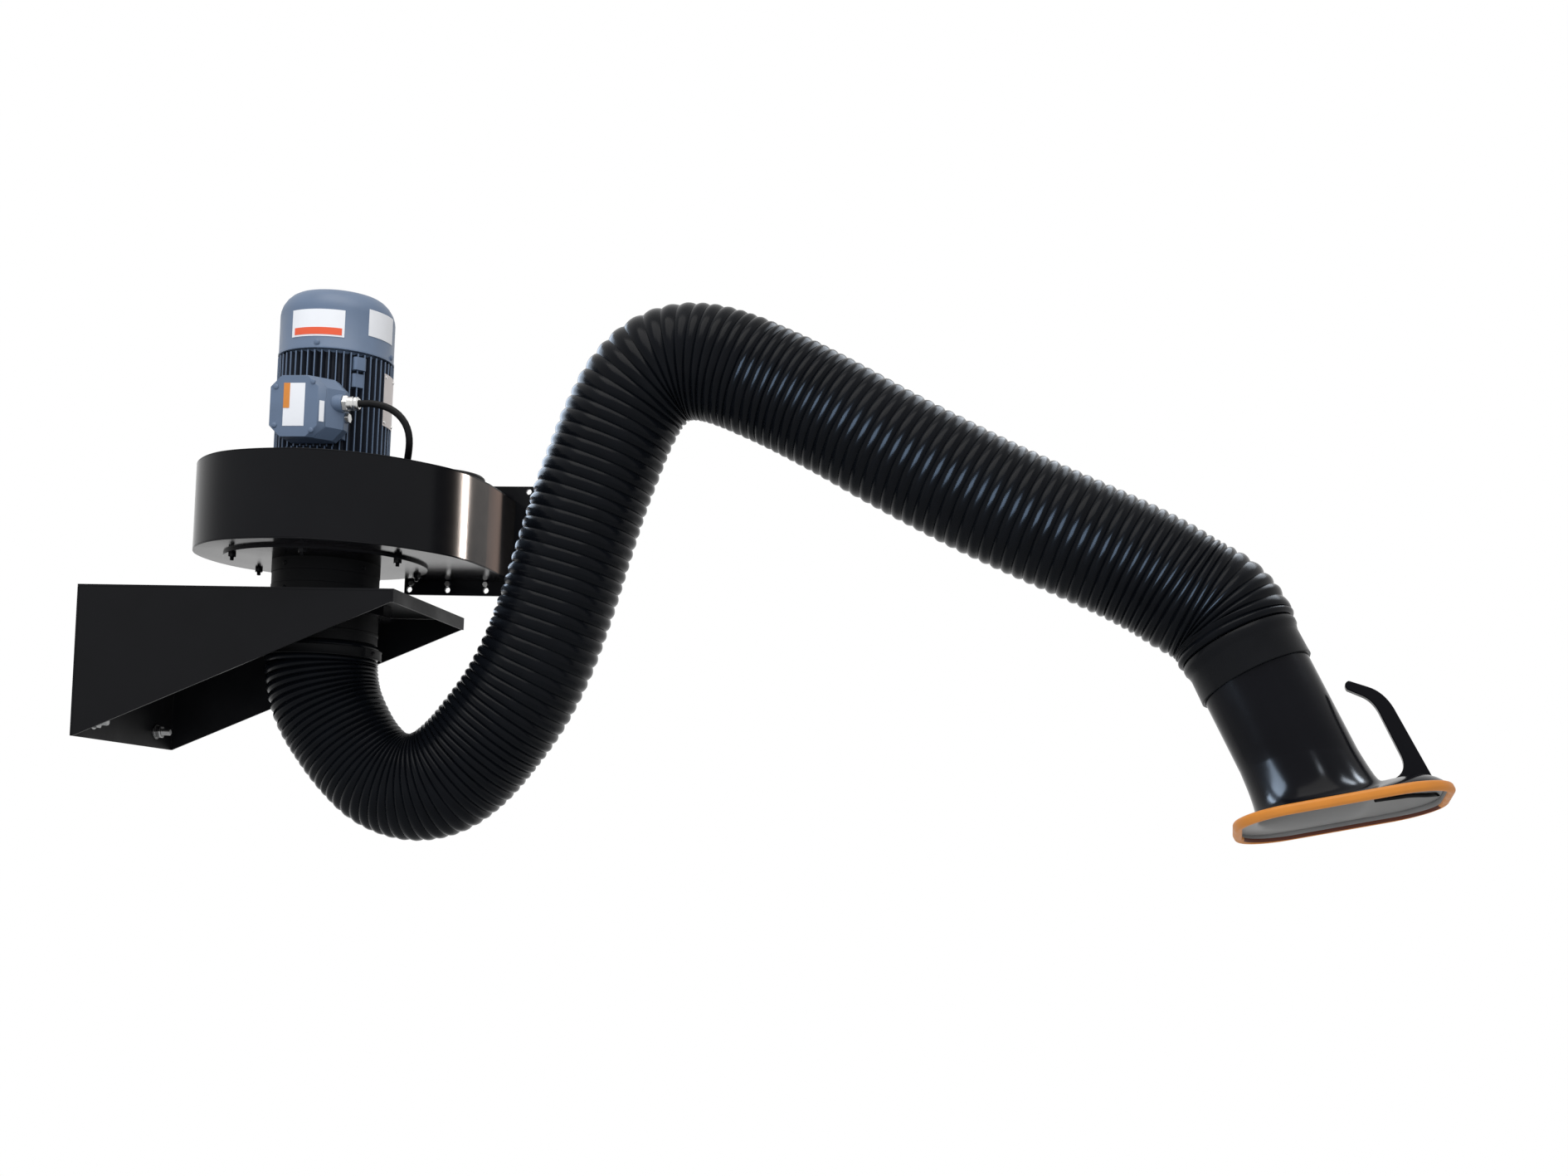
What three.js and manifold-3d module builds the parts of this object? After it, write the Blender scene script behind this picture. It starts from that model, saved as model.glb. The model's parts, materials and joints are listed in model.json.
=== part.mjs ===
// Wall-mounted fume extraction arm with its own fan.
// Millimetres, +Z up, +X out of the wall, origin at the middle of the wall plate's back face.

import * as THREE from 'three';
import { mergeVertices } from 'three/addons/utils/BufferGeometryUtils.js';
import Module from 'manifold-3d';

const wasm = await Module();
wasm.setup();

// Driving dimensions

const GAP = 0.3;
const ROUND = 16;
const ROUND_LARGE = 22;

const BRACKET_REACH = 462;
const BRACKET_WIDTH = 292;
const BRACKET_HEIGHT = 212;
const BRACKET_LIP = 18;
const SHEET = 3;
const TOP_Z = BRACKET_HEIGHT / 2;
const ANCHOR_SPREAD_Y = 92;
const ANCHOR_SPREAD_Z = 82;
const ANCHOR_DIAMETER = 10;
const ANCHOR_WASHER_RADIUS = 11;
const ANCHOR_NUT_RADIUS = 9.5;
const ANCHOR_NUT_HEIGHT = 8.5;
const ANCHOR_REACH = 24;

const AXIS_X = 302;
const PIPE_RADIUS = 76;
const PIPE_WALL = 2;
const PIPE_SCREWS = 4;
const PIPE_SCREW_RADIUS = 3.5;
const FIRST_PIPE_SCREW = -115;

const SCROLL_BOTTOM = 165;
const SCROLL_TOP = 288;
// Spiral of the casing in plan: degrees about the fan axis, and radius.
const SCROLL_PLAN = [
  [64, 152], [90, 160], [120, 168], [160, 177], [200, 185], [240, 190],
  [280, 194], [310, 200], [337, 210], [351, 218], [370, 229.5],
];
const SCROLL_SHEET = 2;
const DUCT_END = 165;
const DUCT_INNER_X = 84;
const DUCT_OUTER_X = 226;
const FLANGE_BORDER = 28;
const FLANGE_DROP = 22;
const FLANGE_THICK = 5;
const FLANGE_HOLE = 9;
const FLANGE_HOLE_INSET = 8;
const FLANGE_HOLES_PER_ROW = 4;

const INLET_RING_RADIUS = 144;
const INLET_RING_THICK = 4;
const RING_BOLTS = 6;
const RING_BOLT_RADIUS = 5.5;
const RING_BOLT_INSET = 9;
const RING_BOLT_DROP = 12;
const FIRST_RING_BOLT = 40;
const IMPELLER_RADIUS = 140;
const IMPELLER_HEIGHT = 74;
const IMPELLER_BLADES = 7;
const IMPELLER_EYE = 80;
const IMPELLER_SHEET = 3;
const IMPELLER_HUB = 24;
const BLADE_MIDDLE = 115;
const BLADE_LEAN = -0.55;
const SHAFT_RADIUS = 9.5;
const SHAFT_OPENING = 2.2 * SHAFT_RADIUS;
const COOLING_BLADES = 5;
const COOLING_RADIUS = 72;
const COOLING_HUB = 20;

const MOTOR_RADIUS = 76;
const MOTOR_FLANGE_RADIUS = 94;
const MOTOR_FRAME_BOTTOM = 310;
const MOTOR_FRAME_TOP = 452;
const COWL_RADIUS = 82;
const COWL_BOTTOM = 455;
const COWL_TOP = 550;
const FIN_COUNT = 22;
const FIN_STAND = 6;
const FIN_DEPTH = 11;
const FRAME_BORE = 68;
const STATOR_INNER = 42;
const STATOR_BOTTOM = MOTOR_FRAME_BOTTOM + 30;
const STATOR_TOP = MOTOR_FRAME_TOP - 30;
const BEARING_RADIUS = 24;
const BEARING_HEIGHT = 13;
const MOTOR_BOLTS = 4;
const FIRST_MOTOR_BOLT = -112;
const BOX_WIDTH = 98;
const BOX_HEIGHT = 86;
const BOX_CENTRE_X = 310;
const BOX_CENTRE_Z = 361;
const BOX_DEPTH = 34;
const BOX_WALL = 4;
const BOX_CHAMFER = 16;
const BOX_BACK_Y = -83;
const LID_THICK = 8;

const CABLE_DIAMETER = 10;
const COIL_CENTRE = new THREE.Vector3(436, 92, 0);
const COIL_OUTER = 62;
const COIL_STEP = 10.8;
const COIL_WHOLE_TURNS = 4;
const COIL_START_ANGLE = THREE.MathUtils.degToRad(-40);
const COIL_END_ANGLE = THREE.MathUtils.degToRad(110);
const STEPS_PER_TURN = 24;
const PLUG_TAIL = 18;
const PLUG_RADIUS = 16;

const COLLAR_RADIUS = 77;
const COLLAR_BOTTOM = 46;
const SPIGOT_RADIUS = 65;
const SPIGOT_BOTTOM = 8;
const COLLAR_WALL = 3;
const SWIVEL_RING_RADIUS = 96;
const SWIVEL_RING_WALL = 3.5;
const SWIVEL_RING_HEIGHT = 17;
const COLLAR_RIM_RADIUS = 90.8;
const CLAMP_BOTTOM = 20;
const CLAMP_TOP = 42;

// Distance between ribs at places along the hose: close where it hangs or bends, wide where it is stretched.
const HOSE_PITCH = [
  [0, 10], [400, 10.5], [540, 17], [960, 17], [1050, 13], [1220, 13], [1310, 17.3], [1720, 18], [1900, 14],
];
const HOSE_SIDES = 8;
const HOSE_CREST = 82;
const HOSE_VALLEY = 78;
const HOSE_BORE = 75;
const HANG_PLACE = 190;
const HANG_REACH = 100;
const HANG_SHARE = 0.105;
const FULLER_FROM = 1250;
const FULLER_TO = 1500;
const FULLER_SHARE = 0.02;

const SHOULDER = new THREE.Vector3(585, 0, -50);
const ELBOW = new THREE.Vector3(797, 0, 446);
const HOOD_TILT = THREE.MathUtils.degToRad(27);
const HOOD_ROLL = THREE.MathUtils.degToRad(-9);
const NECK_TOP = new THREE.Vector3(1588, 0, 70);
const NECK_BELOW_WRIST = 50;

const TUBE_RADIUS = 15;
const SOCKET_BOTTOM = 42;
const PIN_RADIUS = 6;
const PIN_HEAD_RADIUS = 11;
const EYE_RADIUS = 20;
const FORK_DEPTH = 34;
const CROSS_PIN_RADIUS = 5;
const DISC_RADIUS = 18;
const DISC_THICK = 4;
const TONGUE_HALF = 13;
const EAR_THICK = 6;

const NECK_RADIUS = 73;
const HOOD_WALL = 3;
const MOUTH_LENGTH = 259.5;
const MOUTH_WIDTH = 204;
const MOUTH_CORNER = 68;
const MOUTH_TILT = THREE.MathUtils.degToRad(14.78);
const MOUTH_CENTRE_X = 18;
const MOUTH_DEPTH = 258.2;
const RIM_RADIUS = 5.5;
const RIM_CORNERS = 6;
const CUFF_WALL = 3.2;
const CUFF_LENGTH = 56;
const HANDLE_HALF = 6.5;

const BLACK_PAINT = { color: 0x141416, roughness: 0.35, metalness: 0.3 };
const BLACK_SATIN = { color: 0x1b1b1e, roughness: 0.5, metalness: 0.3 };
const BLACK_PLASTIC = { color: 0x101114, roughness: 0.25, metalness: 0 };
const BLACK_RUBBER = { color: 0x121214, roughness: 0.6, metalness: 0 };
const MOTOR_BLUE = { color: 0x6f8199, roughness: 0.5, metalness: 0.2 };
const BARE_STEEL = { color: 0x9a9da1, roughness: 0.35, metalness: 0.9 };
const DARK_IRON = { color: 0x55585c, roughness: 0.6, metalness: 0.6 };
const COPPER = { color: 0x9c5a34, roughness: 0.5, metalness: 0.6 };
const ORANGE_RUBBER = { color: 0xe08a2e, roughness: 0.6, metalness: 0 };

// Helpers that turn geometry into solids and back

const assembly = new THREE.Group();

function piece(name, geometry, finish, parent = assembly) {
  const mesh = new THREE.Mesh(geometry, new THREE.MeshStandardMaterial(finish));
  mesh.name = name;
  parent.add(mesh);
  return mesh;
}

function solid(geometry) {
  const bare = geometry.clone();
  bare.deleteAttribute('normal');
  bare.deleteAttribute('uv');
  const merged = mergeVertices(bare, 1e-4);
  const vertProperties = new Float32Array(merged.attributes.position.array);
  const triVerts = new Uint32Array(merged.index.array);
  return new wasm.Manifold(new wasm.Mesh({ numProp: 3, vertProperties, triVerts }));
}

function geometryOf(body) {
  const mesh = body.getMesh();
  const geometry = new THREE.BufferGeometry();
  geometry.setAttribute('position', new THREE.BufferAttribute(mesh.vertProperties, 3));
  geometry.setIndex(new THREE.BufferAttribute(mesh.triVerts, 1));
  return geometry;
}

function join(...geometries) {
  return geometryOf(geometries.map(solid).reduce((whole, next) => whole.add(next)));
}

function cut(geometry, ...tools) {
  return geometryOf(tools.map(solid).reduce((whole, next) => whole.subtract(next), solid(geometry)));
}

function box(xMin, xMax, yMin, yMax, zMin, zMax) {
  const geometry = new THREE.BoxGeometry(xMax - xMin, yMax - yMin, zMax - zMin);
  return geometry.translate((xMin + xMax) / 2, (yMin + yMax) / 2, (zMin + zMax) / 2);
}

function rodZ(radius, x, y, zMin, zMax, sides = ROUND) {
  const geometry = new THREE.CylinderGeometry(radius, radius, zMax - zMin, sides);
  return geometry.rotateX(Math.PI / 2).translate(x, y, (zMin + zMax) / 2);
}

function rodY(radius, x, z, yMin, yMax, sides = ROUND) {
  const geometry = new THREE.CylinderGeometry(radius, radius, yMax - yMin, sides);
  return geometry.translate(x, (yMin + yMax) / 2, z);
}

function rodX(radius, y, z, xMin, xMax, sides = ROUND) {
  const geometry = new THREE.CylinderGeometry(radius, radius, xMax - xMin, sides);
  return geometry.rotateZ(Math.PI / 2).translate((xMin + xMax) / 2, y, z);
}

// A profile of [radius, height] pairs turned about a vertical axis through (x, 0).
function turned(profile, x, sides = ROUND) {
  const points = profile.map(([radius, height]) => new THREE.Vector2(radius, height));
  return new THREE.LatheGeometry(points, sides).rotateX(Math.PI / 2).translate(x, 0, 0);
}

function ring(inner, outer, x, zMin, zMax, sides = ROUND) {
  return turned([[inner, zMin], [outer, zMin], [outer, zMax], [inner, zMax], [inner, zMin]], x, sides);
}

function slab(shape, zMin, zMax, segments = 8) {
  const options = { depth: zMax - zMin, bevelEnabled: false, curveSegments: segments };
  return new THREE.ExtrudeGeometry(shape, options).translate(0, 0, zMin);
}

function circleHole(x, y, radius) {
  return new THREE.Path().absarc(x, y, radius, 0, Math.PI * 2, true);
}

function circleShape(radius, sides) {
  const corners = [];
  for (let side = 0; side < sides; side += 1) {
    const angle = (side / sides) * Math.PI * 2;
    corners.push(new THREE.Vector2(radius * Math.cos(angle), radius * Math.sin(angle)));
  }
  return new THREE.Shape(corners);
}

function tubeAlong(curve, radius, steps, sides) {
  return new THREE.ExtrudeGeometry(circleShape(radius, sides), {
    steps,
    extrudePath: curve,
    bevelEnabled: false,
  });
}

// Closed rings of equal point counts, joined in order and back to the first.
function skinOfRings(rings) {
  const sides = rings[0].length;
  const positions = rings.flat().flatMap((point) => point.toArray());
  const index = [];
  rings.forEach((_, row) => {
    const next = (row + 1) % rings.length;
    for (let side = 0; side < sides; side += 1) {
      const a = row * sides + side;
      const b = row * sides + ((side + 1) % sides);
      const c = next * sides + side;
      const d = next * sides + ((side + 1) % sides);
      index.push(a, b, c, b, d, c);
    }
  });
  const geometry = new THREE.BufferGeometry();
  geometry.setAttribute('position', new THREE.Float32BufferAttribute(positions, 3));
  geometry.setIndex(index);
  return geometry;
}

// Wall bracket

function wallBracket() {
  const half = BRACKET_WIDTH / 2;
  const plateShape = new THREE.Shape([
    new THREE.Vector2(-half, -TOP_Z),
    new THREE.Vector2(half, -TOP_Z),
    new THREE.Vector2(half, TOP_Z - SHEET - GAP),
    new THREE.Vector2(-half, TOP_Z - SHEET - GAP),
  ]);
  const anchorPlaces = [];
  for (const y of [-ANCHOR_SPREAD_Y, ANCHOR_SPREAD_Y]) {
    for (const z of [-ANCHOR_SPREAD_Z, ANCHOR_SPREAD_Z]) {
      anchorPlaces.push([y, z]);
      plateShape.holes.push(circleHole(y, z, ANCHOR_DIAMETER / 2 + 2 * GAP));
    }
  }
  const wallPlate = slab(plateShape, 0, SHEET, 4).rotateY(Math.PI / 2).rotateX(Math.PI / 2);
  piece('wall_plate', wallPlate, BLACK_SATIN);

  anchorPlaces.forEach(([y, z], index) => {
    const washerTop = SHEET + 2.5;
    const stud = rodX(ANCHOR_DIAMETER / 2, y, z, 0, SHEET + ANCHOR_REACH, 8);
    const washer = rodX(ANCHOR_WASHER_RADIUS, y, z, SHEET + GAP, washerTop, 10);
    const nut = rodX(ANCHOR_NUT_RADIUS, y, z, washerTop, washerTop + ANCHOR_NUT_HEIGHT, 6);
    piece(`wall_anchor_${index + 1}`, join(stud, washer, nut), BARE_STEEL);
  });

  const topSheet = box(0, BRACKET_REACH, -half, half, TOP_Z - SHEET, TOP_Z);
  const lip = box(BRACKET_REACH - SHEET, BRACKET_REACH, -half, half, TOP_Z - BRACKET_LIP, TOP_Z);
  const airHole = rodZ(PIPE_RADIUS - PIPE_WALL, AXIS_X, 0, TOP_Z - 2 * SHEET, TOP_Z + SHEET);
  piece('top_plate', cut(join(topSheet, lip), airHole), BLACK_SATIN);

  const gussetShape = new THREE.Shape([
    new THREE.Vector2(SHEET + GAP, -TOP_Z),
    new THREE.Vector2(BRACKET_REACH - SHEET - GAP, TOP_Z - BRACKET_LIP),
    new THREE.Vector2(BRACKET_REACH - SHEET - GAP, TOP_Z - SHEET - GAP),
    new THREE.Vector2(SHEET + GAP, TOP_Z - SHEET - GAP),
  ]);
  for (const [name, yMin] of [['gusset_near', -half], ['gusset_far', half - SHEET]]) {
    const gusset = slab(gussetShape, 0, SHEET).rotateX(Math.PI / 2).translate(0, yMin + SHEET, 0);
    piece(name, gusset, BLACK_SATIN);
  }
}

// Fan casing

// Plan of the casing from the tongue round to the outlet, drawn inwards by an offset.
function scrollPath(offset) {
  const plan = SCROLL_PLAN.map(([degrees, radius]) => {
    const angle = THREE.MathUtils.degToRad(degrees);
    const reach = radius - offset;
    return new THREE.Vector3(AXIS_X + reach * Math.cos(angle), reach * Math.sin(angle), 0);
  });
  const spiral = new THREE.CatmullRomCurve3(plan).getSpacedPoints(36);
  return [
    new THREE.Vector2(AXIS_X + DUCT_INNER_X + offset, DUCT_END),
    ...spiral.map((point) => new THREE.Vector2(point.x, point.y)),
    new THREE.Vector2(AXIS_X + DUCT_OUTER_X - offset, DUCT_END),
  ];
}

function fanCasing() {
  const outer = scrollPath(0);
  const inner = scrollPath(SCROLL_SHEET);
  const wrapShape = new THREE.Shape([...outer, ...inner.reverse()]);
  const bottomSheet = SCROLL_BOTTOM + SCROLL_SHEET;
  const topSheet = SCROLL_TOP - SCROLL_SHEET;
  piece('scroll_wrap', slab(wrapShape, bottomSheet, topSheet), BLACK_PAINT);

  const bottomShape = new THREE.Shape(outer);
  bottomShape.holes.push(circleHole(AXIS_X, 0, PIPE_RADIUS - PIPE_WALL));
  piece('scroll_bottom', slab(bottomShape, SCROLL_BOTTOM, bottomSheet), BLACK_PAINT);

  const topShape = new THREE.Shape(outer);
  topShape.holes.push(circleHole(AXIS_X, 0, SHAFT_OPENING));
  piece('scroll_top', slab(topShape, topSheet, SCROLL_TOP), BLACK_PAINT);

  const ringTop = SCROLL_BOTTOM;
  const ringBottom = ringTop - INLET_RING_THICK;
  const pipeInner = PIPE_RADIUS - PIPE_WALL;
  const ringParts = [ring(pipeInner, INLET_RING_RADIUS, AXIS_X, ringBottom, ringTop, ROUND_LARGE)];
  const boltCircle = INLET_RING_RADIUS - RING_BOLT_INSET;
  for (let bolt = 0; bolt < RING_BOLTS; bolt += 1) {
    const angle = THREE.MathUtils.degToRad(FIRST_RING_BOLT + (360 / RING_BOLTS) * bolt);
    const x = AXIS_X + boltCircle * Math.cos(angle);
    const y = boltCircle * Math.sin(angle);
    ringParts.push(rodZ(RING_BOLT_RADIUS, x, y, ringBottom - RING_BOLT_DROP, ringBottom + 1, 6));
  }
  piece('inlet_ring', join(...ringParts), BLACK_PAINT);

  const pipeParts = [ring(pipeInner, PIPE_RADIUS, AXIS_X, TOP_Z, ringBottom, ROUND_LARGE)];
  for (const z of [TOP_Z + 11, ringBottom - 9]) {
    for (let screw = 0; screw < PIPE_SCREWS; screw += 1) {
      const head = rodX(PIPE_SCREW_RADIUS, 0, z, PIPE_RADIUS - 1.5, PIPE_RADIUS + 2.5, 5);
      const angle = THREE.MathUtils.degToRad(FIRST_PIPE_SCREW + (360 / PIPE_SCREWS) * screw);
      pipeParts.push(head.rotateZ(angle).translate(AXIS_X, 0, 0));
    }
  }
  piece('inlet_pipe', join(...pipeParts), BLACK_PAINT);
}

function outletFlange() {
  const xMin = AXIS_X + DUCT_INNER_X;
  const xMax = AXIS_X + DUCT_OUTER_X;
  const left = xMin - FLANGE_BORDER;
  const right = xMax + FLANGE_BORDER;
  const low = SCROLL_BOTTOM - FLANGE_DROP;
  const high = SCROLL_TOP + FLANGE_DROP;
  const outline = new THREE.Shape([
    new THREE.Vector2(left, low),
    new THREE.Vector2(right, low),
    new THREE.Vector2(right, high),
    new THREE.Vector2(left, high),
  ]);
  outline.holes.push(new THREE.Path([
    new THREE.Vector2(xMin + SCROLL_SHEET, SCROLL_BOTTOM + SCROLL_SHEET),
    new THREE.Vector2(xMin + SCROLL_SHEET, SCROLL_TOP - SCROLL_SHEET),
    new THREE.Vector2(xMax - SCROLL_SHEET, SCROLL_TOP - SCROLL_SHEET),
    new THREE.Vector2(xMax - SCROLL_SHEET, SCROLL_BOTTOM + SCROLL_SHEET),
  ]));
  const spacing = (right - left - 2 * FLANGE_HOLE_INSET) / (FLANGE_HOLES_PER_ROW - 1);
  for (const z of [low + FLANGE_HOLE_INSET, high - FLANGE_HOLE_INSET]) {
    for (let hole = 0; hole < FLANGE_HOLES_PER_ROW; hole += 1) {
      outline.holes.push(circleHole(left + FLANGE_HOLE_INSET + spacing * hole, z, FLANGE_HOLE / 2));
    }
  }
  const plate = slab(outline, 0, FLANGE_THICK, 4).rotateX(Math.PI / 2);
  piece('outlet_flange', plate.translate(0, DUCT_END + GAP + FLANGE_THICK, 0), BLACK_PAINT);
}

// Impeller, shaft and the other turning pieces of the motor

function fanRotor() {
  const plateTop = SCROLL_TOP - SCROLL_SHEET - 12;
  const plateBottom = plateTop - IMPELLER_SHEET;
  const bladeBottom = plateTop - IMPELLER_HEIGHT;
  const hubInner = SHAFT_RADIUS + GAP;
  const backPlate = ring(hubInner, IMPELLER_RADIUS, AXIS_X, plateBottom, plateTop, ROUND_LARGE);
  const hub = ring(hubInner, IMPELLER_HUB, AXIS_X, plateBottom - 34, plateBottom + 1);
  const shroudTop = bladeBottom + IMPELLER_SHEET;
  const shroud = ring(IMPELLER_EYE, IMPELLER_RADIUS, AXIS_X, bladeBottom, shroudTop, ROUND_LARGE);
  const parts = [backPlate, hub, shroud];
  for (let blade = 0; blade < IMPELLER_BLADES; blade += 1) {
    const vane = box(IMPELLER_EYE + 4, IMPELLER_RADIUS - 6, -1.5, 1.5, bladeBottom + 1, plateBottom + 1);
    vane.translate(-BLADE_MIDDLE, 0, 0).rotateZ(BLADE_LEAN).translate(BLADE_MIDDLE, 0, 0);
    const turn = (blade / IMPELLER_BLADES) * Math.PI * 2;
    parts.push(vane.rotateZ(turn).translate(AXIS_X, 0, 0));
  }
  piece('impeller', join(...parts), DARK_IRON);

  const shaftBottom = plateBottom - 36;
  const shaftTop = COWL_TOP - 58;
  piece('motor_shaft', rodZ(SHAFT_RADIUS, AXIS_X, 0, shaftBottom, shaftTop), BARE_STEEL);
  const core = ring(SHAFT_RADIUS + GAP, STATOR_INNER - 2, AXIS_X, STATOR_BOTTOM, STATOR_TOP);
  piece('rotor_core', core, DARK_IRON);

  const fanBottom = MOTOR_FRAME_TOP + 22;
  const fanParts = [ring(SHAFT_RADIUS + GAP, COOLING_HUB, AXIS_X, fanBottom, fanBottom + 34)];
  fanParts.push(ring(COOLING_HUB - 2, COOLING_RADIUS, AXIS_X, fanBottom, fanBottom + 3));
  for (let blade = 0; blade < COOLING_BLADES; blade += 1) {
    const vane = box(COOLING_HUB - 2, COOLING_RADIUS - 1, -1.5, 1.5, fanBottom + 1, fanBottom + 30);
    fanParts.push(vane.rotateZ((blade / COOLING_BLADES) * Math.PI * 2).translate(AXIS_X, 0, 0));
  }
  piece('cooling_fan', join(...fanParts), BLACK_PLASTIC);
}

// Motor

function fanMotor() {
  const bearingSeat = BEARING_RADIUS + GAP;
  const flangeBottom = SCROLL_TOP + GAP;
  const flangeTop = flangeBottom + 11;
  const lowerShield = turned([
    [SHAFT_OPENING, flangeBottom],
    [MOTOR_FLANGE_RADIUS, flangeBottom],
    [MOTOR_FLANGE_RADIUS, flangeTop],
    [MOTOR_RADIUS + 2, flangeTop],
    [MOTOR_RADIUS - 2, MOTOR_FRAME_BOTTOM - GAP],
    [bearingSeat, MOTOR_FRAME_BOTTOM - GAP],
    [bearingSeat, flangeBottom + 6],
    [SHAFT_OPENING, flangeBottom + 6],
    [SHAFT_OPENING, flangeBottom],
  ], AXIS_X, ROUND_LARGE);
  piece('motor_flange', lowerShield, MOTOR_BLUE);
  const bearingInner = SHAFT_RADIUS + GAP;
  const lowerSeat = flangeBottom + 6 + GAP;
  const lowerBearing = ring(bearingInner, BEARING_RADIUS, AXIS_X, lowerSeat, lowerSeat + BEARING_HEIGHT);
  piece('bearing_lower', lowerBearing, BARE_STEEL);

  const boltCircle = MOTOR_FLANGE_RADIUS - 9;
  for (let bolt = 0; bolt < MOTOR_BOLTS; bolt += 1) {
    const angle = THREE.MathUtils.degToRad(FIRST_MOTOR_BOLT + (360 / MOTOR_BOLTS) * bolt);
    const x = AXIS_X + boltCircle * Math.cos(angle);
    const y = boltCircle * Math.sin(angle);
    const head = rodZ(6.5, x, y, flangeTop + GAP, flangeTop + 8, 6);
    piece(`motor_bolt_${bolt + 1}`, head, BARE_STEEL);
  }

  piece('stator', ring(STATOR_INNER, FRAME_BORE, AXIS_X, STATOR_BOTTOM, STATOR_TOP), COPPER);

  const finOuter = MOTOR_RADIUS + FIN_STAND;
  const finRoot = finOuter - FIN_DEPTH;
  const frameShape = new THREE.Shape();
  for (let fin = 0; fin < FIN_COUNT; fin += 1) {
    for (const [share, radius] of [[0, finRoot], [0.3, finRoot], [0.42, finOuter], [0.78, finOuter]]) {
      const angle = ((fin + share) / FIN_COUNT) * Math.PI * 2;
      const x = AXIS_X + radius * Math.cos(angle);
      const y = radius * Math.sin(angle);
      if (fin === 0 && share === 0) frameShape.moveTo(x, y);
      else frameShape.lineTo(x, y);
    }
  }
  frameShape.holes.push(circleHole(AXIS_X, 0, FRAME_BORE + GAP));
  const frame = slab(frameShape, MOTOR_FRAME_BOTTOM, MOTOR_FRAME_TOP);
  const boxPad = box(
    BOX_CENTRE_X - BOX_WIDTH / 2 - 1, BOX_CENTRE_X + BOX_WIDTH / 2 + 1,
    -finOuter - 10, -MOTOR_RADIUS + 8,
    BOX_CENTRE_Z - BOX_HEIGHT / 2 - 1, BOX_CENTRE_Z + BOX_HEIGHT / 2 + 1,
  );
  const saddle = box(
    BOX_CENTRE_X - BOX_WIDTH / 2 + 16, BOX_CENTRE_X + BOX_WIDTH / 2 - 16,
    BOX_BACK_Y + GAP, -MOTOR_RADIUS + 8,
    BOX_CENTRE_Z - BOX_HEIGHT / 2 + 12, BOX_CENTRE_Z + BOX_HEIGHT / 2 - 12,
  );
  const bore = rodZ(FRAME_BORE + GAP, AXIS_X, 0, MOTOR_FRAME_BOTTOM - 5, MOTOR_FRAME_TOP + 5);
  const clearedFrame = solid(frame).subtract(solid(boxPad)).add(solid(saddle)).subtract(solid(bore));
  piece('motor_frame', geometryOf(clearedFrame), MOTOR_BLUE);

  const shieldBottom = MOTOR_FRAME_TOP + GAP;
  const upperShield = turned([
    [SHAFT_RADIUS + 2, shieldBottom + 14],
    [bearingSeat, shieldBottom + 14],
    [bearingSeat, shieldBottom],
    [MOTOR_RADIUS - 6, shieldBottom],
    [MOTOR_RADIUS - 6, shieldBottom + 10],
    [38, shieldBottom + 18],
    [SHAFT_RADIUS + 2, shieldBottom + 18],
    [SHAFT_RADIUS + 2, shieldBottom + 14],
  ], AXIS_X);
  piece('rear_shield', upperShield, MOTOR_BLUE);
  const upperBearing = ring(bearingInner, BEARING_RADIUS, AXIS_X, shieldBottom, shieldBottom + BEARING_HEIGHT);
  piece('bearing_upper', upperBearing, BARE_STEEL);

  const cowlSheet = 2.5;
  const cowl = turned([
    [COWL_RADIUS - cowlSheet, COWL_BOTTOM],
    [COWL_RADIUS, COWL_BOTTOM],
    [COWL_RADIUS, COWL_TOP - 34],
    [COWL_RADIUS - 5, COWL_TOP - 20],
    [COWL_RADIUS - 18, COWL_TOP - 8],
    [COWL_RADIUS - 40, COWL_TOP - 2],
    [12, COWL_TOP],
    [12, COWL_TOP - cowlSheet],
    [COWL_RADIUS - 41, COWL_TOP - 2 - cowlSheet],
    [COWL_RADIUS - 20, COWL_TOP - 9 - cowlSheet],
    [COWL_RADIUS - 5 - cowlSheet, COWL_TOP - 21],
    [COWL_RADIUS - cowlSheet, COWL_TOP - 35],
    [COWL_RADIUS - cowlSheet, COWL_BOTTOM],
  ], AXIS_X, ROUND_LARGE);
  piece('fan_cowl', cowl, MOTOR_BLUE);
}

function chamferedPlate(width, height, chamfer) {
  const x = width / 2;
  const y = height / 2;
  return new THREE.Shape([
    new THREE.Vector2(-x + chamfer, -y),
    new THREE.Vector2(x - chamfer, -y),
    new THREE.Vector2(x, -y + chamfer),
    new THREE.Vector2(x, y - chamfer),
    new THREE.Vector2(x - chamfer, y),
    new THREE.Vector2(-x + chamfer, y),
    new THREE.Vector2(-x, y - chamfer),
    new THREE.Vector2(-x, -y + chamfer),
  ]);
}

const GLAND_Y = BOX_BACK_Y - BOX_DEPTH / 2;
const GLAND_Z = 370;
const GLAND_START = BOX_CENTRE_X + BOX_WIDTH / 2 + GAP;
const GLAND_END = GLAND_START + 22;

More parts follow.
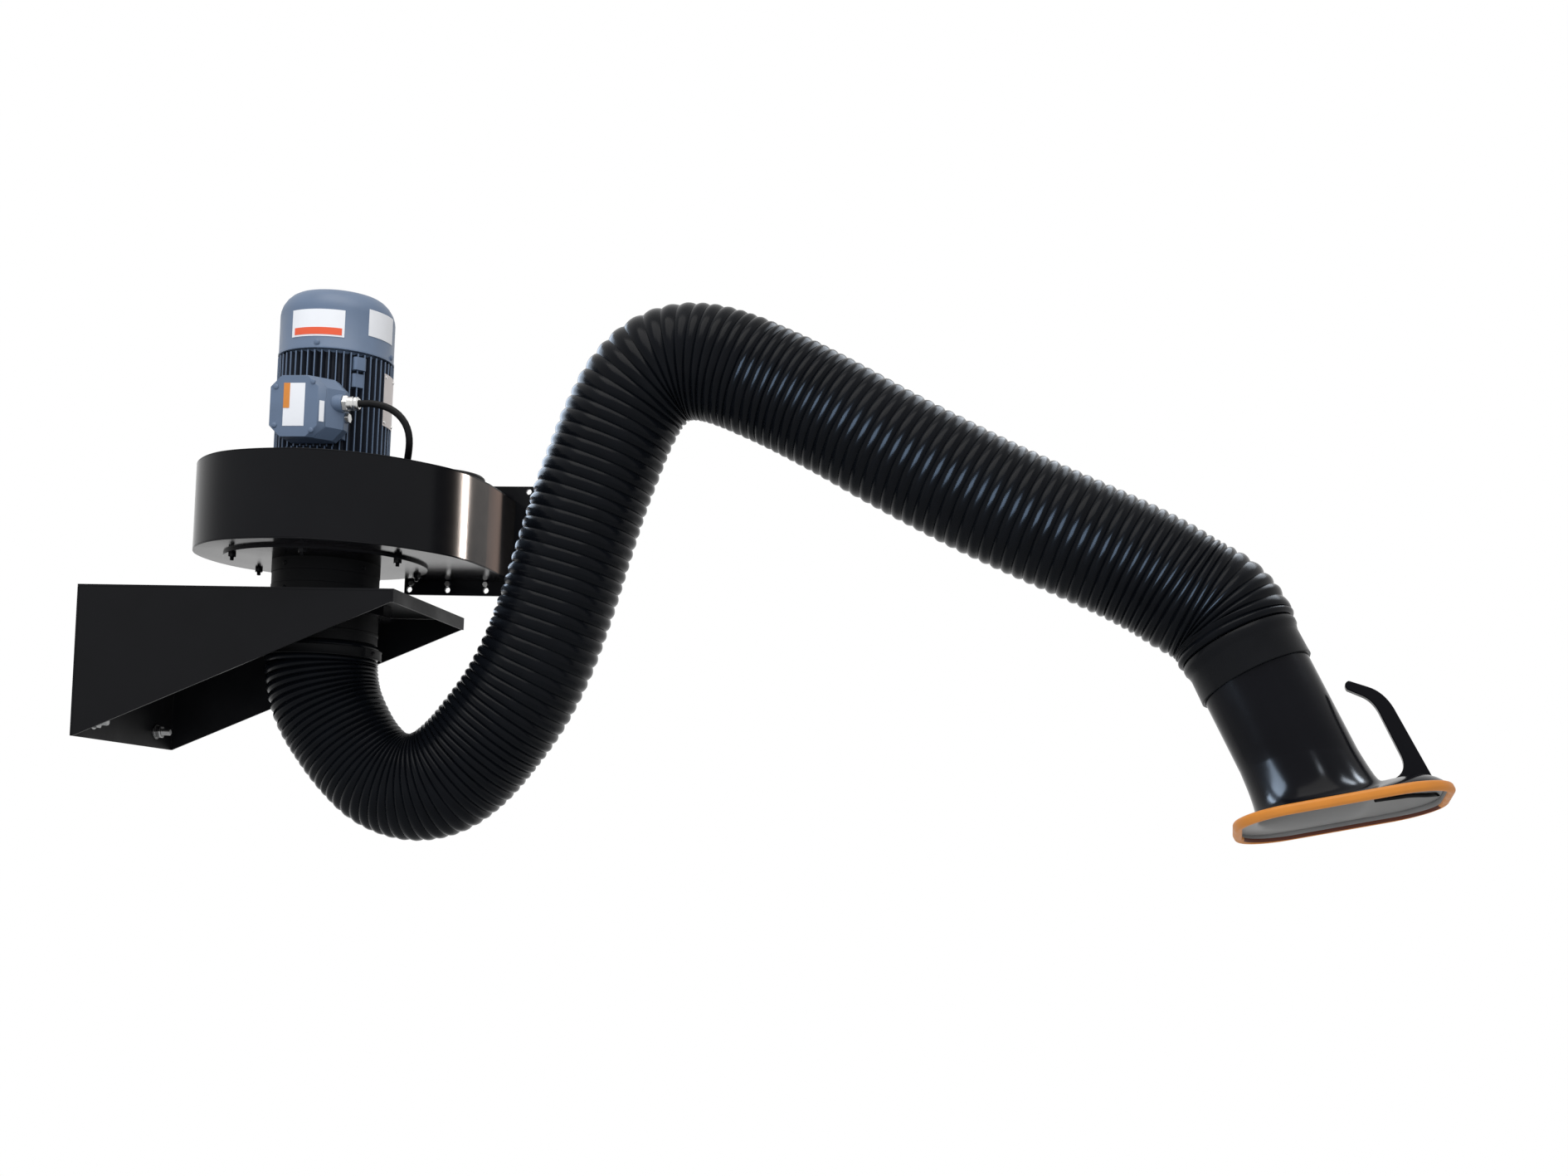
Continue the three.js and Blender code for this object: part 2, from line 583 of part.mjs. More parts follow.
function terminalBox() {
  const upright = (shape, depth, backY) => slab(shape, 0, depth).rotateX(Math.PI / 2)
    .translate(BOX_CENTRE_X, backY, BOX_CENTRE_Z);
  const walls = chamferedPlate(BOX_WIDTH, BOX_HEIGHT, BOX_CHAMFER);
  const shell = upright(walls, BOX_DEPTH, BOX_BACK_Y);
  const hollow = chamferedPlate(BOX_WIDTH - 2 * BOX_WALL, BOX_HEIGHT - 2 * BOX_WALL, BOX_CHAMFER - 3);
  const inside = upright(hollow, BOX_DEPTH, BOX_BACK_Y - BOX_WALL);
  const entry = rodX(6, GLAND_Y, GLAND_Z, GLAND_START - 12, GLAND_START + 2, 16);
  piece('terminal_box', cut(shell, inside, entry), MOTOR_BLUE);
  const lid = upright(walls, LID_THICK, BOX_BACK_Y - BOX_DEPTH - GAP);
  piece('terminal_lid', lid, MOTOR_BLUE);

  const nut = rodX(11, GLAND_Y, GLAND_Z, GLAND_START, GLAND_START + 8, 6);
  const dome = rodX(9, GLAND_Y, GLAND_Z, GLAND_START + 7, GLAND_END, 14);
  const bore = rodX(CABLE_DIAMETER / 2 + 0.5, GLAND_Y, GLAND_Z, GLAND_START - 1, GLAND_END + 1, 14);
  piece('cable_gland', cut(join(nut, dome), bore), BARE_STEEL);
}

// Power cable: a bowed lead from the gland to the casing roof, then a neat coil with its plug

const CABLE_RADIUS = CABLE_DIAMETER / 2;
const ROOF_CLEAR = 1.8;
const LAYER_LOW = SCROLL_TOP + ROOF_CLEAR + CABLE_RADIUS;
const LAYER_HIGH = LAYER_LOW + COIL_STEP;

// Points of the coil: in along the lower layer, up in half a turn, and out along the upper one.
function coilPoints() {
  const fullTurn = Math.PI * 2;
  const sweep = COIL_WHOLE_TURNS * fullTurn + COIL_END_ANGLE - COIL_START_ANGLE;
  const steps = Math.round((sweep / fullTurn) * STEPS_PER_TURN);
  const points = [];
  for (let step = 0; step <= steps; step += 1) {
    const swept = (step / steps) * sweep;
    const turnsIn = Math.min(swept, sweep - swept) / fullTurn;
    const radius = COIL_OUTER - COIL_STEP * turnsIn;
    const climb = THREE.MathUtils.smoothstep(swept, sweep / 2 - Math.PI / 2, sweep / 2 + Math.PI / 2);
    const angle = COIL_START_ANGLE + swept;
    points.push(new THREE.Vector3(
      COIL_CENTRE.x + radius * Math.cos(angle),
      COIL_CENTRE.y + radius * Math.sin(angle),
      THREE.MathUtils.lerp(LAYER_LOW, LAYER_HIGH, climb),
    ));
  }
  return points;
}

// Least surface gap of the coil to itself, between points more than half a turn apart.
function coilGap(points, stepsApart) {
  let least = Infinity;
  points.forEach((point, at) => {
    for (let other = at + stepsApart; other < points.length; other += 1) {
      least = Math.min(least, point.distanceTo(points[other]) - CABLE_DIAMETER);
    }
  });
  return least;
}

function powerCable() {
  const coil = coilPoints();
  console.log(`coil least gap to itself ${coilGap(coil, STEPS_PER_TURN / 2).toFixed(2)} mm`);
  const coilStart = coil[0].clone();
  const coilEnd = coil[coil.length - 1].clone();
  const heading = new THREE.Vector3(-Math.sin(COIL_END_ANGLE), Math.cos(COIL_END_ANGLE), 0);
  coil.push(coilEnd.clone().addScaledVector(heading, PLUG_TAIL / 2));
  coil.push(coilEnd.clone().addScaledVector(heading, PLUG_TAIL));
  const coilCurve = new THREE.CatmullRomCurve3(coil);
  piece('cable_coil', tubeAlong(coilCurve, CABLE_RADIUS, coil.length - 1, 6), BLACK_RUBBER);

  const startHeading = new THREE.Vector3(-Math.sin(COIL_START_ANGLE), Math.cos(COIL_START_ANGLE), 0);
  const lead = new THREE.CatmullRomCurve3([
    new THREE.Vector3(GLAND_START + 1, GLAND_Y, GLAND_Z),
    new THREE.Vector3(GLAND_END + 4, GLAND_Y, GLAND_Z),
    new THREE.Vector3(404, -100, 367),
    new THREE.Vector3(422, -99, 358),
    new THREE.Vector3(440, -97, 342),
    new THREE.Vector3(451, -93, 322),
    new THREE.Vector3(453, -84, 306),
    new THREE.Vector3(451, -66, LAYER_LOW + 2),
    new THREE.Vector3(450, -42, LAYER_LOW),
    new THREE.Vector3(452, -14, LAYER_LOW),
    new THREE.Vector3(460, 14, LAYER_LOW),
    coilStart.clone().addScaledVector(startHeading, -12),
    coilStart.clone().addScaledVector(startHeading, -3 * GAP),
  ]);
  piece('power_cable', tubeAlong(lead, CABLE_RADIUS, 20, 8), BLACK_RUBBER);

  const tieBand = 1.2;
  const tieWidth = 2 * COIL_STEP + 3;
  const tieHeight = COIL_STEP + CABLE_DIAMETER + 0.8;
  const middleRadius = COIL_OUTER - 1.21 * COIL_STEP;
  const tieX = COIL_CENTRE.x - middleRadius;
  const tieBottom = LAYER_LOW - CABLE_RADIUS - 0.4;
  const band = (grow, half) => box(
    tieX - tieWidth / 2 - grow, tieX + tieWidth / 2 + grow,
    COIL_CENTRE.y - half, COIL_CENTRE.y + half,
    tieBottom - grow, tieBottom + tieHeight + grow,
  );
  piece('cable_tie', cut(band(tieBand, 3), band(0, 4)), BLACK_RUBBER);

  const plug = new THREE.Group();
  plug.position.copy(coilEnd).addScaledVector(heading, PLUG_TAIL + GAP);
  plug.rotation.z = Math.atan2(heading.y, heading.x);
  assembly.add(plug);
  const relief = new THREE.CylinderGeometry(9, 6.5, 20, 16).rotateZ(-Math.PI / 2).translate(10, 0, 0);
  const body = rodX(PLUG_RADIUS, 0, 0, 19, 54, 20);
  const pins = [-9.5, 9.5].map((y) => rodX(2.4, y, 0, 53, 72, 10));
  piece('power_plug', join(relief, body, ...pins), BLACK_RUBBER, plug);
}

// Swivel under the bracket

function swivel() {
  const ledge = TOP_Z - SHEET - SWIVEL_RING_HEIGHT;
  const ringInner = SWIVEL_RING_RADIUS - SWIVEL_RING_WALL;
  const lip = turned([
    [COLLAR_RADIUS + 2, ledge],
    [SWIVEL_RING_RADIUS, ledge],
    [SWIVEL_RING_RADIUS, TOP_Z - SHEET - GAP],
    [ringInner, TOP_Z - SHEET - GAP],
    [ringInner, ledge + 3],
    [COLLAR_RADIUS + 2, ledge + 3],
    [COLLAR_RADIUS + 2, ledge],
  ], AXIS_X, ROUND_LARGE);
  piece('swivel_ring', lip, BLACK_PAINT);

  const collarTop = TOP_Z - SHEET - 2.5;
  const collarInner = COLLAR_RADIUS - COLLAR_WALL;
  const spigotInner = SPIGOT_RADIUS - COLLAR_WALL;
  const collar = turned([
    [spigotInner, SPIGOT_BOTTOM],
    [SPIGOT_RADIUS, SPIGOT_BOTTOM],
    [SPIGOT_RADIUS, COLLAR_BOTTOM],
    [COLLAR_RADIUS, COLLAR_BOTTOM],
    [COLLAR_RADIUS, ledge + 3.5],
    [COLLAR_RIM_RADIUS, ledge + 3.5],
    [COLLAR_RIM_RADIUS, ledge + 8],
    [COLLAR_RADIUS, ledge + 8],
    [COLLAR_RADIUS, collarTop],
    [collarInner, collarTop],
    [collarInner, COLLAR_BOTTOM + 4],
    [spigotInner, COLLAR_BOTTOM + 4],
    [spigotInner, SPIGOT_BOTTOM],
  ], AXIS_X, ROUND_LARGE);
  const crossBar = box(AXIS_X - COLLAR_RADIUS + 1, AXIS_X + COLLAR_RADIUS - 1, -11, 11, 58, 70);
  const socket = rodZ(TUBE_RADIUS + 6, AXIS_X, 0, SOCKET_BOTTOM, 60, 20);
  piece('swivel_collar', join(collar, crossBar, socket), BLACK_PAINT);

  const clampInner = HOSE_CREST + 1.2;
  piece('neck_clamp', ring(clampInner, clampInner + 3, AXIS_X, CLAMP_BOTTOM, CLAMP_TOP, 24), BLACK_PAINT);
}

// Suction hose

const hoodAxis = new THREE.Vector3(0, 0, -1)
  .applyEuler(new THREE.Euler(HOOD_ROLL, -HOOD_TILT, 0, 'YXZ'));
const plainAxis = new THREE.Vector3(Math.sin(HOOD_TILT), 0, -Math.cos(HOOD_TILT));
const WRIST = NECK_TOP.clone().addScaledVector(plainAxis, -NECK_BELOW_WRIST);
const hoseEnd = WRIST.clone().addScaledVector(hoodAxis, NECK_BELOW_WRIST - 3 * GAP);

const neckRoute = [
  [AXIS_X, 45.6], [AXIS_X, 6], [313, -38], [336, -79], [365, -116],
  [401, -145], [446, -156], [489, -146], [526, -118],
];
const armRoute = [
  [566, -69], [597, -22], [624, 35], [647, 103], [671, 189], [691, 260], [709, 314], [728, 365],
  [752, 411], [782, 441], [815, 453], [854, 452], [896, 440], [932, 425], [968, 409], [1039, 373],
  [1109, 335], [1179, 299], [1248, 265], [1317, 234], [1384, 205], [1442, 179], [1485, 157], [1520, 136],
];

function routePoint([x, z]) {
  return new THREE.Vector3(x, 0, z);
}

const hoseCurve = new THREE.CatmullRomCurve3([
  ...neckRoute.map(routePoint),
  ...armRoute.map(routePoint),
  new THREE.Vector3(1557, -1.5, 114.5),
  hoseEnd.clone().addScaledVector(hoodAxis, -24),
  hoseEnd.clone().addScaledVector(hoodAxis, -10),
  hoseEnd,
]);
hoseCurve.arcLengthDivisions = 1500;
const hoseLength = hoseCurve.getLength();

function pitchAt(length) {
  const after = HOSE_PITCH.findIndex(([place]) => place > length);
  if (after < 1) return HOSE_PITCH[HOSE_PITCH.length - 1][1];
  const [lowPlace, lowPitch] = HOSE_PITCH[after - 1];
  const [highPlace, highPitch] = HOSE_PITCH[after];
  return THREE.MathUtils.mapLinear(length, lowPlace, highPlace, lowPitch, highPitch);
}

// Places of the valleys between ribs, as shares of the hose's length.
const ribPlaces = [0];
while (ribPlaces[ribPlaces.length - 1] < hoseLength) {
  const last = ribPlaces[ribPlaces.length - 1];
  ribPlaces.push(last + pitchAt(last));
}
const ribsReach = ribPlaces[ribPlaces.length - 1];
ribPlaces.forEach((place, rib) => {
  ribPlaces[rib] = place / ribsReach;
});
const ribCount = ribPlaces.length - 1;

// The hose is drawn in a little where it hangs in the bend and is fuller towards the hood.
function hoseSwell(share) {
  const length = share * hoseLength;
  const hang = Math.exp(-(((length - HANG_PLACE) / HANG_REACH) ** 2));
  const fuller = THREE.MathUtils.smoothstep(length, FULLER_FROM, FULLER_TO);
  return 1 - HANG_SHARE * hang + FULLER_SHARE * fuller;
}

function hoseRing(share, plainRadius) {
  const radius = plainRadius * hoseSwell(share);
  const centre = hoseCurve.getPointAt(share);
  const along = hoseCurve.getTangentAt(share);
  const side = new THREE.Vector3(0, 1, 0);
  side.addScaledVector(along, -side.dot(along)).normalize();
  const across = side.clone().cross(along);
  const points = [];
  for (let corner = 0; corner < HOSE_SIDES; corner += 1) {
    const angle = (corner / HOSE_SIDES) * Math.PI * 2;
    const point = centre.clone().addScaledVector(across, radius * Math.cos(angle));
    points.push(point.addScaledVector(side, radius * Math.sin(angle)));
  }
  return points;
}

// One stretch of hose between two whole ribs, hollow, with its ends trimmed by a small gap.
function hoseStretch(name, firstRib, lastRib, boreStep) {
  const trim = GAP / 2 / hoseLength;
  const start = ribPlaces[firstRib] + (firstRib > 0 ? trim : 0);
  const end = ribPlaces[lastRib] - (lastRib < ribCount ? trim : 0);
  const outer = [hoseRing(start, HOSE_VALLEY)];
  for (let rib = firstRib; rib < lastRib; rib += 1) {
    outer.push(hoseRing((ribPlaces[rib] + ribPlaces[rib + 1]) / 2, HOSE_CREST));
    outer.push(hoseRing(rib + 1 < lastRib ? ribPlaces[rib + 1] : end, HOSE_VALLEY));
  }
  const bore = [hoseRing(start, HOSE_BORE)];
  for (let rib = firstRib + boreStep; rib < lastRib; rib += boreStep) {
    bore.push(hoseRing(ribPlaces[rib], HOSE_BORE));
  }
  bore.push(hoseRing(end, HOSE_BORE));
  piece(name, skinOfRings([...outer, ...bore.reverse()]), BLACK_PLASTIC);
}

function ribNear(x, z) {
  const target = new THREE.Vector3(x, 0, z);
  let best = 0;
  for (let rib = 1; rib <= ribCount; rib += 1) {
    const nearer = hoseCurve.getPointAt(ribPlaces[rib]).distanceTo(target)
      < hoseCurve.getPointAt(ribPlaces[best]).distanceTo(target);
    if (nearer) best = rib;
  }
  return best;
}

function suctionHose() {
  const marks = [
    0, ribNear(528, -117), ribNear(628, 50), ribNear(700, 290), ribNear(962, 412), ribNear(1443, 181), ribCount,
  ];
  const names = ['hose_neck', 'hose_shoulder', 'hose_lower', 'hose_elbow', 'hose_upper', 'hose_wrist'];
  const boreSteps = [3, 2, 4, 2, 5, 2];
  names.forEach((name, at) => hoseStretch(name, marks[at], marks[at + 1], boreSteps[at]));
  console.log(`hose length ${hoseLength.toFixed(0)} mm, ${ribCount} ribs`);
}

// Inner skeleton: links that meet in forked friction joints
// Each link is drawn along local X from its first pivot and turned into place.

function linkGroup(from, to) {
  const group = new THREE.Group();
  group.position.copy(from);
  group.rotation.y = -Math.atan2(to.z - from.z, to.x - from.x);
  assembly.add(group);
  return group;
}

function tongueEnd() {
  const eye = rodY(EYE_RADIUS, 0, 0, -TONGUE_HALF, TONGUE_HALF, 16);
  const shank = box(0, FORK_DEPTH, -TONGUE_HALF, TONGUE_HALF, -12, 12);
  return [eye, shank];
}

function forkEnd(pivot, inner, earRadius, depth) {
  const parts = [];
  for (const side of [-1, 1]) {
    const yNear = side * inner;
    const yFar = side * (inner + EAR_THICK);
    const low = Math.min(yNear, yFar);
    const high = Math.max(yNear, yFar);
    parts.push(rodY(earRadius, pivot, 0, low, high, 16));
    parts.push(box(pivot - depth - 4, pivot, low, high, -12, 12));
  }
  const reach = inner + EAR_THICK;
  parts.push(box(pivot - depth - 14, pivot - depth, -reach, reach, -14, 14));
  return parts;
}

function pinHole(pivot, radius) {
  return rodY(radius + GAP, pivot, 0, -60, 60, 12);
}

function jointPin(name, place) {
  const reach = TONGUE_HALF + GAP + EAR_THICK + 5;
  const shaft = rodY(PIN_RADIUS, place.x, place.z, -reach - 7, reach + 7, 12);
  const head = rodY(PIN_HEAD_RADIUS, place.x, place.z, -reach - 6, -reach, 6);
  const nut = rodY(PIN_HEAD_RADIUS, place.x, place.z, reach, reach + 6, 6);
  piece(name, join(shaft, head, nut), BARE_STEEL);
}

function frictionDiscs(prefix, place) {
  const inner = TONGUE_HALF + GAP + EAR_THICK + GAP;
  for (const [label, yMin] of [['near', -inner - DISC_THICK], ['far', inner]]) {
    const disc = rodY(DISC_RADIUS, place.x, place.z, yMin, yMin + DISC_THICK, 16);
    const hole = rodY(PIN_RADIUS + GAP, place.x, place.z, yMin - 1, yMin + DISC_THICK + 1, 12);
    piece(`${prefix}_disc_${label}`, cut(disc, hole), DARK_IRON);
  }
}

function skeleton() {
  const forkInner = TONGUE_HALF + GAP;

  const shoulderLean = new THREE.Vector3(0.517, 0, 0.856);
  const neckFoot = SHOULDER.clone().addScaledVector(shoulderLean, -FORK_DEPTH - 8);
  const neckCurve = new THREE.CatmullRomCurve3([
    new THREE.Vector3(AXIS_X, 0, SOCKET_BOTTOM - GAP),
    ...neckRoute.slice(1).map(routePoint),
    neckFoot,
  ]);
  const fork = join(...forkEnd(0, forkInner, EYE_RADIUS, FORK_DEPTH));
  fork.rotateY(-Math.atan2(shoulderLean.z, shoulderLean.x)).translate(SHOULDER.x, 0, SHOULDER.z);
  const neckHole = rodY(PIN_RADIUS + GAP, SHOULDER.x, SHOULDER.z, -60, 60, 12);
  const neckTube = tubeAlong(neckCurve, TUBE_RADIUS, 16, 8);
  piece('swan_neck', cut(join(neckTube, fork), neckHole), BARE_STEEL);

  const lowerLength = SHOULDER.distanceTo(ELBOW);
  const lowerTube = rodX(TUBE_RADIUS, 0, 0, FORK_DEPTH - 2, lowerLength - FORK_DEPTH - 6, 10);
  const lowerFork = forkEnd(lowerLength, forkInner, EYE_RADIUS, FORK_DEPTH);
  const lowerParts = join(...tongueEnd(), lowerTube, ...lowerFork);
  const lowerArm = cut(lowerParts, pinHole(0, PIN_RADIUS), pinHole(lowerLength, PIN_RADIUS));
  piece('lower_arm', lowerArm, BARE_STEEL, linkGroup(SHOULDER, ELBOW));

  const upperLength = ELBOW.distanceTo(WRIST);
  const wristInner = 20;
  const wristDepth = 42;
  const upperTube = rodX(TUBE_RADIUS, 0, 0, FORK_DEPTH - 2, upperLength - wristDepth - 6, 10);
  const upperParts = join(...tongueEnd(), upperTube, ...forkEnd(upperLength, wristInner, 13, wristDepth));
  const upperArm = cut(upperParts, pinHole(0, PIN_RADIUS), pinHole(upperLength, CROSS_PIN_RADIUS));
  piece('upper_arm', upperArm, BARE_STEEL, linkGroup(ELBOW, WRIST));

  jointPin('shoulder_pin', SHOULDER);
  jointPin('elbow_pin', ELBOW);
  frictionDiscs('shoulder', SHOULDER);
  frictionDiscs('elbow', ELBOW);

  const wristGroup = new THREE.Group();
  wristGroup.position.copy(WRIST);
  wristGroup.rotation.y = -HOOD_TILT;
  assembly.add(wristGroup);
  const block = box(-9, 9, -9, 9, -9, 9);
  const pinAcross = rodX(CROSS_PIN_RADIUS, 0, 0, -20, 20, 12);
  const pinSide = rodY(CROSS_PIN_RADIUS, 0, 0, -29, 29, 12);
  piece('wrist_cross', join(block, pinAcross, pinSide), BARE_STEEL, wristGroup);
}

// Hood, drawn about its neck axis with local Z up the neck and its origin at the wrist

const HOOD_SIDES = 28;
const NECK_START = 4;
const FLARE_HEIGHT = 75;
const FLARE_SOFT = 9.5;
const FLARE_SHARP = 4.3;
const SHOULDER_HEIGHT = 27;

function neckPoint(angle, offset) {
  const radius = NECK_RADIUS + offset;
  return new THREE.Vector2(radius * Math.cos(angle), radius * Math.sin(angle));
}

// Point on the mouth's rounded rectangle with its outward direction, spread evenly along each quarter.
function mouthPoint(angle, offset) {
  const quarterTurn = Math.PI / 2;
  const cornerX = MOUTH_LENGTH / 2 - MOUTH_CORNER;
  const cornerY = MOUTH_WIDTH / 2 - MOUTH_CORNER;
  const arc = MOUTH_CORNER * quarterTurn;
  const number = Math.floor(angle / quarterTurn);
  const share = angle / quarterTurn - number;
  const gone = (cornerX + cornerY + arc) * (number % 2 === 0 ? share : 1 - share);
  const swing = THREE.MathUtils.clamp((gone - cornerY) / MOUTH_CORNER, 0, quarterTurn);
  const sideX = Math.sign(Math.cos(angle));
  const sideY = Math.sign(Math.sin(angle));
  const out = new THREE.Vector2(sideX * Math.cos(swing), sideY * Math.sin(swing));
  const x = cornerX - Math.max(0, gone - cornerY - arc);
  const y = Math.min(gone, cornerY);
  const point = new THREE.Vector2(MOUTH_CENTRE_X + sideX * x, sideY * y);
  return { point: point.addScaledVector(out, MOUTH_CORNER + offset), out };
}

function mouthDepth(x) {
  return MOUTH_DEPTH + (x - MOUTH_CENTRE_X) * Math.tan(MOUTH_TILT);
}

// Height of the shell over the mouth plane: it falls from the neck to the edge, with a flat shoulder
// under the handle.
function flareHeight(angle, share, distance) {
  const softness = THREE.MathUtils.lerp(FLARE_SHARP, FLARE_SOFT, Math.sin(angle) ** 2);
  const fall = (away) => FLARE_HEIGHT * Math.exp(-away / softness);
  const flare = fall(share * distance) - share * fall(distance);
  const shoulder = SHOULDER_HEIGHT * Math.max(0, Math.cos(angle)) ** 2 * (1 - share ** 6);
  return (flare ** 4 + shoulder ** 4) ** 0.25;
}

// Rings from the neck down to the mouth, moved outwards by an offset and down by a drop.
function hoodRings(offset, drop) {
  const shares = [0, 0.03, 0.07, 0.13, 0.22, 0.36, 0.55, 0.78, 0.93, 1];
  const rings = [[], ...shares.map(() => [])];
  for (let side = 0; side < HOOD_SIDES; side += 1) {
    const angle = ((side + 0.5) / HOOD_SIDES) * Math.PI * 2;
    const neck = neckPoint(angle, offset);
    const mouth = mouthPoint(angle, offset).point;
    const distance = neck.distanceTo(mouth);
    rings[0].push(new THREE.Vector3(neck.x, neck.y, -NECK_BELOW_WRIST - NECK_START));
    shares.forEach((share, at) => {
      const flat = neck.clone().lerp(mouth, share);
      const height = Math.max(0, flareHeight(angle, share, distance) - drop);
      rings[at + 1].push(new THREE.Vector3(flat.x, flat.y, height - NECK_BELOW_WRIST - mouthDepth(flat.x)));
    });
  }
  return rings;
}

function cappedRings(rings) {
  const sides = rings[0].length;
  const geometry = skinOfRings(rings);
  const kept = Array.from(geometry.index.array).slice(0, (rings.length - 1) * sides * 6);
  const last = (rings.length - 1) * sides;
  for (let side = 1; side < sides - 1; side += 1) {
    kept.push(0, side + 1, side);
    kept.push(last, last + side, last + side + 1);
  }
  geometry.setIndex(kept);
  return geometry;
}

function hood() {
  const group = new THREE.Group();
  group.position.copy(WRIST);
  group.rotation.set(HOOD_ROLL, -HOOD_TILT, 0, 'YXZ');
  assembly.add(group);

  const outside = hoodRings(0, 0).map((ringPoints) => ringPoints.slice().reverse());
  const inside = hoodRings(-HOOD_WALL, HOOD_WALL).map((ringPoints) => ringPoints.slice().reverse());
  piece('hood_shell', skinOfRings([...outside, ...inside.reverse()]), BLACK_PLASTIC, group);

  const rimRings = [];
  for (let side = 0; side < HOOD_SIDES; side += 1) {
    const angle = ((side + 0.5) / HOOD_SIDES) * Math.PI * 2;
    const { point: edge, out: outward } = mouthPoint(angle, -HOOD_WALL / 2);
    const depth = mouthDepth(edge.x) + RIM_RADIUS + GAP;
    const points = [];
    for (let corner = 0; corner < RIM_CORNERS; corner += 1) {
      const turn = ((corner + 0.5) / RIM_CORNERS) * Math.PI * 2;
      const out = RIM_RADIUS * Math.cos(turn);
      points.push(new THREE.Vector3(
        edge.x + out * outward.x,
        edge.y + out * outward.y,
        -NECK_BELOW_WRIST - depth - RIM_RADIUS * Math.sin(turn),
      ));
    }
    rimRings.push(points);
  }
  piece('hood_rim', skinOfRings(rimRings), ORANGE_RUBBER, group);

  const cuffInner = NECK_RADIUS + 3 * GAP;
  const cuffTop = -NECK_BELOW_WRIST;
  const cuff = ring(cuffInner, cuffInner + CUFF_WALL, 0, cuffTop - CUFF_LENGTH, cuffTop, HOOD_SIDES);
  piece('hood_cuff', cuff, BLACK_RUBBER, group);

  const ears = [];
  for (const [xMin, xMax] of [[-18, -12], [12, 18]]) {
    ears.push(box(xMin, xMax, -11, 11, -66, 0));
    ears.push(rodX(11, 0, 0, xMin, xMax, 14));
  }
  const neckInner = (NECK_RADIUS - HOOD_WALL) * Math.cos(Math.PI / HOOD_SIDES);
  const bar = box(-neckInner + GAP, neckInner - GAP, -6.4, 6.4, -74, -62);
  const web = box(-22, 22, -11, 11, -74, -62);
  const earHole = rodX(CROSS_PIN_RADIUS + GAP, 0, 0, -60, 60, 12);
  piece('hood_yoke', cut(join(bar, web, ...ears), earHole), BARE_STEEL, group);

  const handleShape = new THREE.Shape();
  handleShape.moveTo(94, -262);
  handleShape.lineTo(94, -252);
  handleShape.quadraticCurveTo(116, -251, 117.5, -228);
  handleShape.lineTo(118.5, -165);
  handleShape.quadraticCurveTo(118.5, -146, 109, -135);
  handleShape.lineTo(96, -119.5);
  handleShape.quadraticCurveTo(94, -110, 103, -109.5);
  handleShape.lineTo(121, -127.5);
  handleShape.quadraticCurveTo(136, -142, 137.5, -168);
  handleShape.lineTo(139.5, -262);
  handleShape.lineTo(139.5, -274);
  const handleBar = slab(handleShape, -HANDLE_HALF, HANDLE_HALF, 5).rotateX(Math.PI / 2);
  const handleBlank = handleBar.translate(0, 0, -NECK_BELOW_WRIST);
  const hoodBody = cappedRings(hoodRings(2 * GAP, -2 * GAP).map((ringPoints) => ringPoints.slice().reverse()));
  piece('hood_handle', cut(handleBlank, hoodBody), BLACK_PLASTIC, group);
}

wallBracket();
fanCasing();
outletFlange();
fanRotor();
fanMotor();
terminalBox();
powerCable();
swivel();
suctionHose();
skeleton();
hood();

export default assembly;
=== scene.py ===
# Looks of a wall-mounted fume extraction arm with its own fan.
# Sizes are in millimetres and become metres when a piece is made.

import json
import math

import bpy
import numpy as np
from mathutils import Matrix, Vector


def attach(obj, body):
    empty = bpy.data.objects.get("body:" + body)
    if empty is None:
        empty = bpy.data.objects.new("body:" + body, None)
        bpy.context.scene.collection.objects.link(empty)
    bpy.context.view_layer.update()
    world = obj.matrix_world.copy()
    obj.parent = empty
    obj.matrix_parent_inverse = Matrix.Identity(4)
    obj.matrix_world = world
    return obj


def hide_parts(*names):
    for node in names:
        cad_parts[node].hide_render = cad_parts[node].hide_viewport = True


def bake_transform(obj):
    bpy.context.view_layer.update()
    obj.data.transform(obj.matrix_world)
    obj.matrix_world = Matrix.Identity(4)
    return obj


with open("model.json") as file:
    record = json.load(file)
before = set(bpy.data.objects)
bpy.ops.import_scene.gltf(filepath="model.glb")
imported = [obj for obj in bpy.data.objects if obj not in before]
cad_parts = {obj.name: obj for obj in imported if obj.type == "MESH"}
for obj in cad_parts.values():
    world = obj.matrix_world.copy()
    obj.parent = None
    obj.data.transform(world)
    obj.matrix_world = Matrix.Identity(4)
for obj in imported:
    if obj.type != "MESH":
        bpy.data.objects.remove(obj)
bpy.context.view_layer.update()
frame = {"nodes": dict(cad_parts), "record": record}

MM = 0.001
TURN = 2 * math.pi

# Camera at the viewing angle of the photograph

PHOTO_WIDTH = 1890
FOCAL_LENGTH_PX = 2300
AXIS_DROP_PX = 252
SENSOR_MM = 36
CAMERA_PLACE = (1.4140, -2.5938, -0.2561)
CAMERA_YAW = 0.1642
CAMERA_PITCH = 0.03913
CAMERA_ROLL = 0.03931


